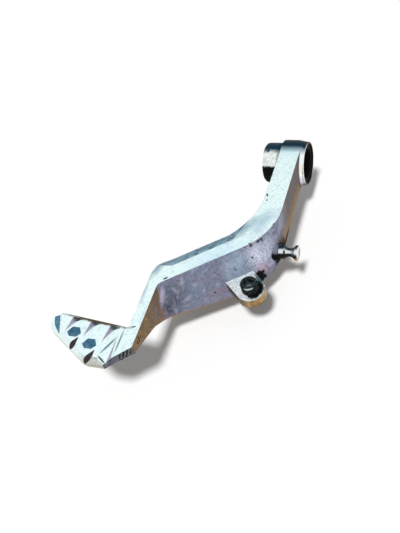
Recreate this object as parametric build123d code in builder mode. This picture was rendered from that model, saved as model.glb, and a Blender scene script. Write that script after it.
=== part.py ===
from build123d import *
import os
from math import cos, radians, sin, tan

# Rear brake pedal of a motorbike: a cast lever on a bushed pivot, with a return spring pin and a lug screw.
# Millimetres. The origin is the middle of the pivot bore, +X runs forward to the foot pad,
# +Y runs inboard along the pivot, and +Z is square to the lever's flat top.

# Pivot boss, turned about Y
boss_length = 27.2
barrel_dia = 25.2
barrel_edge_radius = 2.4
eye_dia = 29.0
barrel_root_share = 0.8
collar_wall = 1.2
collar_length = 0.8
collar_taper_length = 5.8
cove_reach = 4.2
cove_end_gap = 0.7

# Pivot bore, its bushes and its seal
pivot_dia = 18.0
bush_wall = 1.0
bush_gap = 2.2
bush_chamfer = 0.4
bush_inset = 1.0
seal_recess_depth = 4.0
seal_section = 3.0
seal_width = 3.0
seal_lip_gap = 0.28
seal_notch_depth = 1.4
mouth_chamfer = 0.4
press_gap = 0.02

# Arm seen from above: a rear run, a kick outboard and a front run
rear_run_outer_y = -1.8
rear_run_width = 12.6
kick_start_x = 62.0
kick_angle = 54.0
kick_run_width = 14.6
front_run_outer_y = -53.2
front_run_width = 6.6
rear_bend_outer_radius = 35.0
rear_bend_inner_radius = 38.0
front_bend_outer_radius = 17.0
front_bend_inner_radius = 5.0
end_facet_setback = 12.1
end_facet_angle = 48.0
wall_draft_angle = 14.0

# Arm seen from the side: its underside is deepest beside the lug and thins out to the pad
rear_run_depth = 21.5
belly_start_x = 40.0
belly_x = 92.0
belly_depth = 30.0
knee_setback = 33.5
knee_depth = 24.5
neck_setback = 23.5
neck_depth = 16.3
belly_radius = 40.0
knee_radius = 10.0
neck_radius = 15.0
taper_radius = 25.0

# Bevel along the outer top edge of the kick, which fades out in both bends
bevel_width = 6.6
bevel_angle = 18.0

# Foot pad
pad_front_x = 166.6
pad_width = 23.4
pad_thickness = 6.2
pad_reach = 52.0
pad_rear_sweep = 4.4
pad_square_front = 18.5
pad_tip_cut_x = 7.4
pad_tip_cut_y = 9.2
pad_tip_radius = 6.0
pad_front_radius = 8.0
pad_roll_radius = 4.0

# Tread cut into the pad inside a rear rim: vee grooves with one steep side, which run out towards the front
tread_rim = 1.2
tread_depth = 2.4
tread_count = 3
tread_pitch = 12.2
tread_angle = 12.0
tread_inset = 9.0
tread_steep_run = 1.6
tread_gentle_run = 6.0
tread_reach = 12.6
tread_reach_step = 1.0
tread_drift = 2.9

# Hollows in front of the tread grooves: their long front sides are hexagons that face the rear
hollow_count = 2
hollow_setback = 10.8
hollow_inset = 18.2
hollow_step_x = 6.0
hollow_step_y = 12.1
hollow_depth = 1.8
hollow_length = 8.8
hollow_flat = 4.4
hollow_front_run = 5.0
hollow_rear_run = 1.2

# Grooves in the front edge of the pad, which grow from nothing beside the hollows
front_groove_count = 2
front_groove_setback = 15.6
front_groove_inset = 13.6
front_groove_step_x = 6.4
front_groove_step_y = 12.8
front_groove_angle = 28.0
front_groove_length = 15.0
front_groove_depth = 6.0
front_groove_steep_run = 3.2
front_groove_gentle_run = 8.5

# Groove along the pad's tip
tip_groove_angle = -22.0
tip_groove_inset = 9.0
tip_groove_depth = 0.9
tip_groove_rim_run = 2.8
tip_groove_wall_run = 0.5

# Groove beside the arm, which grows from nothing to its depth in front of the pad
root_groove_setback = 6.1
root_groove_inset = 3.9
root_groove_drift = 1.9
root_groove_depth = 2.6
root_groove_outboard_run = 8.4
root_groove_inboard_run = 3.9

# Lug on the inboard wall of the kick
lug_top_depth = 17.5
lug_thickness = 7.0
lug_along = 19.5
lug_reach = 11.3
lug_nose_radius = 8.4
lug_root_rear = 5.8
lug_root_front = 11.7
lug_root_sink = 3.0

# Lug screw: a cap screw with a hexagon socket
screw_dia = 6.0
screw_head_dia = 10.0
screw_head_height = 6.0
screw_head_edge = 0.6
screw_length = 12.0
screw_tip_chamfer = 0.8
screw_socket_flats = 5.0
screw_socket_depth = 3.0
screw_gap = 0.05

# Return spring pin, pressed into the inboard wall behind the lug
pin_setback = 7.0
pin_depth = 18.5
pin_seat_inset = 0.6
pin_seat_dia = 10.4
pin_seat_gap = 0.5
pin_shank_dia = 5.0
pin_shank_length = 9.0
pin_hole_spare = 0.5
pin_collar_dia = 8.0
pin_collar_length = 3.2
pin_waist_dia = 5.0
pin_waist_length = 6.4
pin_waist_taper = 2.2
pin_head_dia = 9.0
pin_rim_length = 1.6
pin_edge = 0.4

# Sizes that follow
bore_radius = pivot_dia / 2 + bush_wall
seal_inner = pivot_dia / 2 + seal_lip_gap
seal_outer = seal_inner + seal_section
recess_radius = seal_outer + press_gap
collar_dia = 2 * (recess_radius + collar_wall)
top_z = eye_dia / 2
half_boss = boss_length / 2
bush_length = (boss_length - bush_inset - seal_recess_depth - bush_gap) / 2
barrel_root_radius = barrel_root_share * (eye_dia - barrel_dia) / 2
collar_start_y = half_boss - collar_length
recess_floor_y = half_boss - seal_recess_depth
rear_run_inner_y = rear_run_outer_y + rear_run_width
front_run_inner_y = front_run_outer_y + front_run_width
half_kick = radians(kick_angle) / 2
kick_forward = cos(2 * half_kick)
kick_outboard = sin(2 * half_kick)
draft = tan(radians(wall_draft_angle))
lug_top_z = top_z - lug_top_depth
pin_x = kick_start_x + pin_setback
pin_z = top_z - pin_depth
pin_seat_y = rear_run_inner_y - pin_seat_inset
pad_root_y = front_run_outer_y + front_run_width / 2
pad_tip_y = front_run_outer_y - pad_reach
pad_rear_x = pad_front_x - pad_width
end_facet_x = pad_front_x - end_facet_setback
knee_x = end_facet_x - knee_setback
neck_x = end_facet_x - neck_setback
facet_slope = tan(radians(end_facet_angle))
cut_margin = 5.0


def kick_point(along, across):
    """Point in plan, from where the kick starts: along it, then square to it towards its inboard wall."""
    x = kick_start_x + along * kick_forward + across * kick_outboard
    y = rear_run_outer_y - along * kick_outboard + across * kick_forward
    return (x, y)


def kick_crossing(y, across):
    """Point in plan where the line along the kick, this far across it, reaches this y."""
    along = (rear_run_outer_y + across * kick_forward - y) / kick_outboard
    return kick_point(along, across)


def inboard_wall(depth):
    """How far the kick's inboard wall is from its outer one, at a depth under the top: it leans out."""
    return kick_run_width + draft * depth


def arm_corners(depth):
    """Corners of the arm in plan, at a depth under its top."""
    return [
        (0, rear_run_outer_y),
        kick_crossing(rear_run_outer_y, 0),
        kick_crossing(front_run_outer_y, 0),
        (end_facet_x + front_run_width / facet_slope, front_run_outer_y),
        (end_facet_x, front_run_inner_y),
        kick_crossing(front_run_inner_y, inboard_wall(depth)),
        kick_crossing(rear_run_inner_y, inboard_wall(depth)),
        (0, rear_run_inner_y),
    ]


def bend_middle(corner, radius):
    """Middle of a rounded bend of the arm's outer edge: inboard of its corner for a positive radius."""
    shift = radius * (1 / cos(half_kick) - 1)
    return (corner[0] + shift * sin(half_kick), corner[1] + shift * cos(half_kick))


def pad_rear_edge(y):
    """How far forward the pad's rear edge is at this y: it sweeps back towards the tip."""
    share = (pad_root_y - y) / (pad_root_y - pad_tip_y - pad_tip_cut_y)
    return pad_rear_x - share * pad_rear_sweep


def across_top(point, angle):
    """Plane square to a line on the lever's top that runs forward, turned outboard by the angle.

    The plane's x points to the line's inboard side, and its y points up.
    """
    turn = radians(angle)
    x_dir = (sin(turn), cos(turn), 0)
    z_dir = (cos(turn), -sin(turn), 0)
    return Plane(origin=(*point, top_z), x_dir=x_dir, z_dir=z_dir)


def vee_corners(depth, outboard_run, inboard_run):
    """Corners of a vee groove's section, carried on above the lever's top."""
    widening = 1 + cut_margin / depth
    return [
        (-outboard_run * widening, cut_margin),
        (0, -depth),
        (inboard_run * widening, cut_margin),
    ]


# Arm and foot pad in plan
arm_radii = [
    0,
    rear_bend_outer_radius,
    front_bend_outer_radius,
    0,
    0,
    front_bend_inner_radius,
    rear_bend_inner_radius,
    0,
]
pad_tip_rear = (pad_rear_x - pad_rear_sweep, pad_tip_y + pad_tip_cut_y)
pad_tip_front = (pad_tip_rear[0] + pad_tip_cut_x, pad_tip_y)
pad_front_corner = (pad_front_x, front_run_outer_y - pad_square_front)
pad_front_root = (pad_front_x, front_run_inner_y - (pad_front_x - end_facet_x) * facet_slope)
pad_corners = [
    (pad_rear_x, pad_root_y),
    pad_tip_rear,
    pad_tip_front,
    pad_front_corner,
    pad_front_root,
    (end_facet_x + (front_run_inner_y - pad_root_y) / facet_slope, pad_root_y),
]
pad_radii = [0, pad_tip_radius, pad_tip_radius, pad_front_radius, 0, 0]

# Rear rim of the pad: all of the pad behind a line along its rear edge
rim_root = (pad_rear_x + tread_rim, pad_root_y)
rim_tip = (pad_tip_rear[0] + tread_rim, pad_tip_rear[1])
rim_corners = [
    rim_root,
    rim_tip,
    (rim_tip[0], pad_tip_y),
    (rim_tip[0] - tread_rim - cut_margin, pad_tip_y),
    (pad_rear_x - tread_rim - cut_margin, pad_root_y),
]

# Boss profile
boss_radii = [
    0,
    barrel_edge_radius,
    barrel_root_radius,
    0,
    0,
    0,
    0,
    0,
]

# Grooves that grow from nothing: where each runs out, its deep end, its angle and its section there
growing_grooves = []
for i in range(tread_count):
    deep_end_y = front_run_outer_y - tread_inset - i * tread_pitch
    deep_end = (pad_rear_edge(deep_end_y), deep_end_y)
    run_out = (deep_end[0] + tread_reach - i * tread_reach_step, deep_end[1] - tread_drift)
    section = (tread_depth, tread_steep_run, tread_gentle_run)
    growing_grooves.append((run_out, deep_end, tread_angle, section))
for i in range(front_groove_count):
    run_out = (
        pad_rear_x + front_groove_setback - i * front_groove_step_x,
        front_run_outer_y - front_groove_inset - i * front_groove_step_y,
    )
    deep_end = (
        run_out[0] + front_groove_length * cos(radians(front_groove_angle)),
        run_out[1] - front_groove_length * sin(radians(front_groove_angle)),
    )
    section = (front_groove_depth, front_groove_steep_run, front_groove_gentle_run)
    growing_grooves.append((run_out, deep_end, front_groove_angle, section))
root_groove_start = (pad_rear_x + root_groove_setback, front_run_outer_y - root_groove_inset)
root_groove_end = (pad_front_x + cut_margin, root_groove_start[1] - root_groove_drift)
root_section = (root_groove_depth, root_groove_outboard_run, root_groove_inboard_run)
growing_grooves.append((root_groove_start, root_groove_end, 0, root_section))

# Hollows: the middle of each one's valley line
hollow_points = []
for i in range(hollow_count):
    x = pad_rear_x + hollow_setback - i * hollow_step_x
    y = front_run_outer_y - hollow_inset - i * hollow_step_y
    hollow_points.append((x, y))

tip_point = (pad_rear_x, pad_tip_y + tip_groove_inset)

# Bevel ends, where the outer edge bends
kick_outer_rear = kick_crossing(rear_run_outer_y, 0)
kick_outer_front = kick_crossing(front_run_outer_y, 0)
kick_outer_length = (rear_run_outer_y - front_run_outer_y) / kick_outboard
bevel_rear_along = rear_bend_outer_radius * tan(half_kick)
bevel_front_along = kick_outer_length - front_bend_outer_radius * tan(half_kick)
bevel_rear_end = bend_middle(kick_outer_rear, -rear_bend_outer_radius)
bevel_front_end = bend_middle(kick_outer_front, front_bend_outer_radius)

# Lug in plan
lug_wall = inboard_wall(lug_top_depth)
lug_hole = kick_point(lug_along, lug_wall + lug_reach)
lug_root_rear_point = kick_point(lug_along - lug_root_rear, lug_wall - lug_root_sink)
lug_root_front_point = kick_point(lug_along + lug_root_front, lug_wall - lug_root_sink)

# Cove that carries the arm's inboard wall into the collar, kept within the arm's height
with BuildPart() as collar_cove:
    with BuildSketch(Plane.XY):
        with BuildLine():
            Bezier(
                (collar_dia / 2 + cove_reach, rear_run_inner_y),
                (collar_dia / 2, rear_run_inner_y),
                (collar_dia / 2, half_boss - cove_end_gap),
            )
            Polyline(
                (collar_dia / 2, half_boss - cove_end_gap),
                (recess_radius, half_boss - cove_end_gap),
                (recess_radius, rear_run_outer_y),
                (collar_dia / 2 + cove_reach, rear_run_outer_y),
                (collar_dia / 2 + cove_reach, rear_run_inner_y),
            )
        make_face()
    revolve(axis=Axis.Y)
    with BuildSketch(Plane.XZ):
        with BuildLine():
            Polyline(
                (0, top_z - rear_run_depth),
                (collar_dia, top_z - rear_run_depth),
                (collar_dia, top_z),
                (0, top_z),
                close=True,
            )
        make_face()
    extrude(amount=boss_length, both=True, mode=Mode.INTERSECT)

with BuildPart() as lever_casting:
    # Foot pad, with its front edges rolled over
    with BuildSketch(Plane.XY.offset(top_z - pad_thickness)):
        with BuildLine():
            FilletPolyline(*pad_corners, radius=pad_radii, close=True)
        make_face()
    extrude(amount=pad_thickness)
    for start, end in ((pad_front_root, pad_front_corner), (pad_front_corner, pad_tip_front)):
        edge = Vector(*end) - Vector(*start)
        outward = (-edge.Y, edge.X, 0)
        with BuildSketch(Plane(origin=(*start, top_z), x_dir=outward, z_dir=edge)):
            with BuildLine():
                CenterArc((-pad_roll_radius, -pad_roll_radius), pad_roll_radius, 0, 90)
                Polyline(
                    (-pad_roll_radius, 0),
                    (-pad_roll_radius, cut_margin),
                    (cut_margin, cut_margin),
                    (cut_margin, -pad_roll_radius),
                    (0, -pad_roll_radius),
                )
            make_face()
        extrude(amount=edge.length + cut_margin, mode=Mode.SUBTRACT)
    # Tread
    for run_out, deep_end, angle, section in growing_grooves:
        with BuildSketch(across_top(deep_end, angle), mode=Mode.PRIVATE) as deep_section:
            with BuildLine():
                Polyline(*vee_corners(*section), close=True)
            make_face()
        loft([Vertex(*run_out, top_z), deep_section.sketch.face()], ruled=True, mode=Mode.SUBTRACT)
    for x, y in hollow_points:
        hollow_sections = []
        for along in (-hollow_flat / 2, hollow_flat / 2):
            with BuildSketch(across_top((x, y + along), -90), mode=Mode.PRIVATE) as hollow_section:
                with BuildLine():
                    Polyline(*vee_corners(hollow_depth, hollow_front_run, hollow_rear_run), close=True)
                make_face()
            hollow_sections.append(hollow_section.sketch.face())
        hollow_ends = [
            Vertex(x + hollow_front_run / 2, y + along, top_z)
            for along in (-hollow_length / 2, hollow_length / 2)
        ]
        loft([hollow_ends[0], *hollow_sections, hollow_ends[1]], ruled=True, mode=Mode.SUBTRACT)
    # Rear rim, which closes the grooves' rear ends
    with BuildSketch(Plane.XY.offset(top_z - pad_thickness)):
        with BuildLine():
            FilletPolyline(*pad_corners, radius=pad_radii, close=True)
        make_face()
        with BuildLine():
            Polyline(*rim_corners, close=True)
        make_face(mode=Mode.INTERSECT)
    extrude(amount=pad_thickness)
    # Groove along the tip, which cuts through the rim
    with BuildSketch(across_top(tip_point, tip_groove_angle)):
        with BuildLine():
            Polyline(*vee_corners(tip_groove_depth, tip_groove_rim_run, tip_groove_wall_run), close=True)
        make_face()
    extrude(amount=2 * pad_reach, both=True, mode=Mode.SUBTRACT)
    # Arm, between its top outline and the wider outline at the belly
    for depth in (belly_depth, 0):
        with BuildSketch(Plane.XY.offset(top_z - depth)):
            with BuildLine():
                FilletPolyline(*arm_corners(depth), radius=arm_radii, close=True)
            make_face()
    loft(ruled=True)
    # Underside, cut to its line from the side
    with BuildSketch(Plane.XZ):
        with BuildLine():
            FilletPolyline(
                (-cut_margin, top_z - rear_run_depth),
                (belly_start_x, top_z - rear_run_depth),
                (belly_x, top_z - belly_depth),
                (knee_x, top_z - knee_depth),
                (neck_x, top_z - neck_depth),
                (end_facet_x, top_z - pad_thickness),
                (pad_front_x + cut_margin, top_z - pad_thickness),
                radius=[belly_radius, belly_radius, knee_radius, neck_radius, taper_radius],
            )
            Polyline(
                (pad_front_x + cut_margin, top_z - pad_thickness),
                (pad_front_x + cut_margin, top_z + cut_margin),
                (-cut_margin, top_z + cut_margin),
                (-cut_margin, top_z - rear_run_depth),
            )
        make_face()
    extrude(amount=2 * pad_reach - front_run_outer_y, both=True, mode=Mode.INTERSECT)
    # Bevel on the kick
    bevel_sections = []
    for along in (bevel_rear_along, bevel_front_along):
        rise = cut_margin * tan(radians(bevel_angle))
        fall = (bevel_width + cut_margin) * tan(radians(bevel_angle))
        section_plane = across_top(kick_point(along, 0), kick_angle)
        with BuildSketch(section_plane, mode=Mode.PRIVATE) as bevel_section:
            with BuildLine():
                Polyline(
                    (bevel_width + cut_margin, rise),
                    (-cut_margin, rise),
                    (-cut_margin, -fall),
                    close=True,
                )
            make_face()
        bevel_sections.append(bevel_section.sketch.face())
    bevel_ends = [Vertex(*bevel_rear_end, top_z), Vertex(*bevel_front_end, top_z)]
    loft([bevel_ends[0], *bevel_sections, bevel_ends[1]], ruled=True, mode=Mode.SUBTRACT)
    # Lug
    with BuildSketch(Plane.XY.offset(lug_top_z - lug_thickness)):
        with BuildLine():
            Line(lug_root_rear_point, lug_root_front_point)
        with Locations(lug_hole):
            Circle(lug_nose_radius)
        make_hull()
    extrude(amount=lug_thickness)
    # Seat of the spring pin
    with BuildSketch(Plane.XZ.offset(-pin_seat_y)):
        with Locations((pin_x, pin_z)):
            Circle(pin_seat_dia / 2)
    extrude(amount=rear_run_width)
    with BuildSketch(Plane.XZ.offset(-pin_seat_y)):
        with Locations((pin_x, pin_z)):
            Circle(pin_collar_dia / 2 + pin_seat_gap)
    extrude(amount=-pin_collar_length, mode=Mode.SUBTRACT)
    # Pivot boss
    with BuildSketch(Plane.XY):
        with BuildLine():
            FilletPolyline(
                (0, -half_boss),
                (barrel_dia / 2, -half_boss),
                (barrel_dia / 2, rear_run_outer_y),
                (eye_dia / 2, rear_run_outer_y),
                (eye_dia / 2, collar_start_y - collar_taper_length),
                (collar_dia / 2, collar_start_y),
                (collar_dia / 2, half_boss),
                (0, half_boss),
                radius=boss_radii,
                close=True,
            )
        make_face()
    revolve(axis=Axis.Y)
    add(collar_cove.part)
    # Bore, with the seal's recess at its inboard mouth
    with BuildSketch(Plane.XY):
        with BuildLine():
            Polyline(
                (0, -half_boss - cut_margin),
                (bore_radius + mouth_chamfer, -half_boss - cut_margin),
                (bore_radius + mouth_chamfer, -half_boss),
                (bore_radius, -half_boss + mouth_chamfer),
                (bore_radius, recess_floor_y),
                (recess_radius, recess_floor_y),
                (recess_radius, half_boss - mouth_chamfer),
                (recess_radius + mouth_chamfer, half_boss),
                (recess_radius + mouth_chamfer, half_boss + cut_margin),
                (0, half_boss + cut_margin),
                close=True,
            )
        make_face()
    revolve(axis=Axis.Y, mode=Mode.SUBTRACT)
    # Holes for the screw and the pin
    with Locations((*lug_hole, lug_top_z)):
        Hole(screw_dia / 2 + screw_gap, depth=2 * lug_thickness)
    with BuildSketch(Plane.XZ.offset(-pin_seat_y)):
        with Locations((pin_x, pin_z)):
            Circle(pin_shank_dia / 2 + press_gap)
    extrude(amount=pin_shank_length + pin_hole_spare, mode=Mode.SUBTRACT)

with BuildPart() as dust_seal:
    seal_middle = (seal_outer + seal_inner) / 2
    with BuildSketch(Plane.XY):
        with BuildLine():
            Polyline(
                (seal_inner, recess_floor_y),
                (seal_outer, recess_floor_y),
                (seal_outer, recess_floor_y + seal_width),
                (seal_middle, recess_floor_y + seal_width - seal_notch_depth),
                (seal_inner, recess_floor_y + seal_width),
                close=True,
            )
        make_face()
    revolve(axis=Axis.Y)

with BuildPart() as return_spring_pin:
    waist_start_y = pin_seat_y + pin_collar_length
    waist_end_y = waist_start_y + pin_waist_length
    head_end_y = waist_end_y + pin_rim_length
    shank_end_y = pin_seat_y - pin_shank_length
    with BuildSketch(Plane.XY.offset(pin_z)):
        with BuildLine():
            Polyline(
                (pin_x + pin_collar_dia / 2, waist_start_y),
                (pin_x + pin_waist_dia / 2, waist_start_y + pin_waist_taper),
                (pin_x + pin_waist_dia / 2, waist_end_y - pin_waist_taper),
                (pin_x + pin_head_dia / 2, waist_end_y),
                (pin_x + pin_head_dia / 2, head_end_y - pin_edge),
                (pin_x + pin_head_dia / 2 - pin_edge, head_end_y),
                (pin_x, head_end_y),
                (pin_x, shank_end_y),
                (pin_x + pin_shank_dia / 2 - pin_edge, shank_end_y),
                (pin_x + pin_shank_dia / 2, shank_end_y + pin_edge),
                (pin_x + pin_shank_dia / 2, pin_seat_y),
                (pin_x + pin_collar_dia / 2, pin_seat_y),
                close=True,
            )
        make_face()
    revolve(axis=Axis((pin_x, 0, pin_z), (0, 1, 0)))

with BuildPart() as lug_screw:
    with BuildSketch(Plane.XY.offset(lug_top_z)):
        with Locations(lug_hole):
            Circle(screw_head_dia / 2)
    extrude(amount=screw_head_height)
    chamfer(lug_screw.edges().group_by(Axis.Z)[-1], screw_head_edge)
    with BuildSketch(Plane.XY.offset(lug_top_z)):
        with Locations(lug_hole):
            Circle(screw_dia / 2)
    extrude(amount=-screw_length)
    chamfer(lug_screw.edges().group_by(Axis.Z)[0], screw_tip_chamfer)
    with BuildSketch(Plane.XY.offset(lug_top_z + screw_head_height)):
        with Locations(lug_hole):
            RegularPolygon(screw_socket_flats / 2, side_count=6, major_radius=False)
    extrude(amount=-screw_socket_depth, mode=Mode.SUBTRACT)

os.makedirs("parts", exist_ok=True)
pieces = {
    "lever_casting": lever_casting,
    "dust_seal": dust_seal,
    "return_spring_pin": return_spring_pin,
    "lug_screw": lug_screw,
}
for name, piece in pieces.items():
    piece.part.label = name
    export_step(piece.part, f"parts/{name}.step")

# Bushes, pressed in from both ends of the bore
bush_ends = {
    "outboard_bush": -half_boss + bush_inset,
    "inboard_bush": recess_floor_y - bush_length,
}
for name, start_y in bush_ends.items():
    with BuildPart() as bush:
        with BuildSketch(Plane.XY):
            with BuildLine():
                Polyline(
                    (pivot_dia / 2, start_y),
                    (bore_radius - press_gap, start_y),
                    (bore_radius - press_gap, start_y + bush_length),
                    (pivot_dia / 2, start_y + bush_length),
                    close=True,
                )
            make_face()
        revolve(axis=Axis.Y)
        outer_edges = bush.edges().filter_by(GeomType.CIRCLE).sort_by(SortBy.RADIUS)[-2:]
        chamfer(outer_edges, bush_chamfer)
    bush.part.label = name
    export_step(bush.part, f"parts/{name}.step")
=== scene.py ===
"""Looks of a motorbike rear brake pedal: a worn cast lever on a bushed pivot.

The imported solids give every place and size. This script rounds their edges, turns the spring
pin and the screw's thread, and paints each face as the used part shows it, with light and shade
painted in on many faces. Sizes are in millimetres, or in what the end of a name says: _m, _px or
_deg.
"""

import logging
import math
from collections.abc import Callable, Iterator
from contextlib import contextmanager
from dataclasses import dataclass, field
from enum import Enum
from typing import Any, Protocol

import bmesh
import bpy
from mathutils import Matrix, Vector
from mathutils.bvhtree import BVHTree


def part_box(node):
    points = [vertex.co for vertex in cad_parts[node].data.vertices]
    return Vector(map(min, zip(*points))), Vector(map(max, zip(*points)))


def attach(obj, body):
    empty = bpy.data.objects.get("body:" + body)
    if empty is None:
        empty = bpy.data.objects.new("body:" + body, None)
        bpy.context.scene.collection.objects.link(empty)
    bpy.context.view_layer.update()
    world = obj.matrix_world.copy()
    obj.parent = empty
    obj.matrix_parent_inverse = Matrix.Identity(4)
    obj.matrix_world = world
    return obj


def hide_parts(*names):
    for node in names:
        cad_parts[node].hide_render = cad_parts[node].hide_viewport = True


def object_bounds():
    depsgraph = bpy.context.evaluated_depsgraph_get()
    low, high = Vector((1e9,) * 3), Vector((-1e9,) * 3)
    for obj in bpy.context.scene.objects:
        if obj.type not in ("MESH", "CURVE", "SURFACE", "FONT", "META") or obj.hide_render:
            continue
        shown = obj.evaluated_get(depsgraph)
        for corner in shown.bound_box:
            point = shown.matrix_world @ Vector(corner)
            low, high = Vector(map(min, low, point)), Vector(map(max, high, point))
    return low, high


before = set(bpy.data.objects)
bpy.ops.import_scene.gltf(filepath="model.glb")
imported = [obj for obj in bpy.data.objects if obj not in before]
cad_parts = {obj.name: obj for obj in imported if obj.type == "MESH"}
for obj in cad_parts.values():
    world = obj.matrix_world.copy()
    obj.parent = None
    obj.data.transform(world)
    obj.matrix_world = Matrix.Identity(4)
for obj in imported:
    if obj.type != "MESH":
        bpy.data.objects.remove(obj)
cad_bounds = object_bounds()

log = logging.getLogger("brake_pedal")

Point = tuple[float, float, float]
Colour = tuple[float, float, float, float]
Socket = bpy.types.NodeSocket
Sockets = dict[str | int, Any]

MM = 0.001

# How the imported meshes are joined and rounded
WELD_MM = 0.002
STRAY_MM = 0.3
FLAT_DEG = 0.4
ROUNDING_SEGMENTS = 2
FLAT_FACE_WEIGHT = 100

# How the noise of the finishes is drawn
EVEN: Point = (1, 1, 1)
UNTURNED: Point = (0, 0, 0)
PATCH_DETAIL = 3
GRAIN_DETAIL = 2
PATCH_ROUGHNESS = 0.6
CHIP_GRAIN = 0.8

# Where the edge of a speck or a stroke fades, as shares of its own size
SPECK_OUTER, SPECK_INNER = 1.5, 1.1
STROKE_OUTER, STROKE_INNER = 0.6, 0.4

# A speck is as large as its random draw stands between these
SPECK_DRAW_FROM, SPECK_DRAW_TO = -0.5, 1.0


def linear(hex_code: str) -> Colour:
    """Turn an sRGB hex colour into the linear colour that a shader takes.

    Args:
        hex_code: Six hex digits after a hash sign.

    Returns:
        Red, green, blue and a full alpha, all linear.
    """
    # The sRGB curve: straight next to black, and a power above
    channels = [int(hex_code[i:i + 2], 16) / 255 for i in (1, 3, 5)]
    curved = [c / 12.92 if c <= 0.04045 else ((c + 0.055) / 1.055) ** 2.4 for c in channels]
    return (curved[0], curved[1], curved[2], 1.0)


def add_node(
    tree: bpy.types.NodeTree, kind: str, sockets: Sockets | None = None, **options: Any,
) -> bpy.types.Node:
    """Add a node to a tree, set its options, and fill or link its sockets.

    Args:
        tree: The node tree.
        kind: The node's type name.
        sockets: Values or output sockets, by the name or number of the input.
        options: The node's own settings.

    Returns:
        The new node.
    """
    node = tree.nodes.new(kind)
    for name, value in options.items():
        setattr(node, name, value)
    for key, value in (sockets or {}).items():
        if isinstance(value, Socket):
            tree.links.new(value, node.inputs[key])
        else:
            node.inputs[key].default_value = value
    return node


class Blend(Enum):
    """Numbers of a Mix node's two values and of its result, for each kind of value."""

    RGBA = (6, 7, 2)
    FLOAT = (2, 3, 0)


@dataclass(frozen=True)
class Coat:
    """What a layer leaves on the surface: a colour, and what else differs from the rest."""

    colour: str
    metallic: float | None = None
    roughness: float | None = None
    specular: float | None = None


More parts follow.
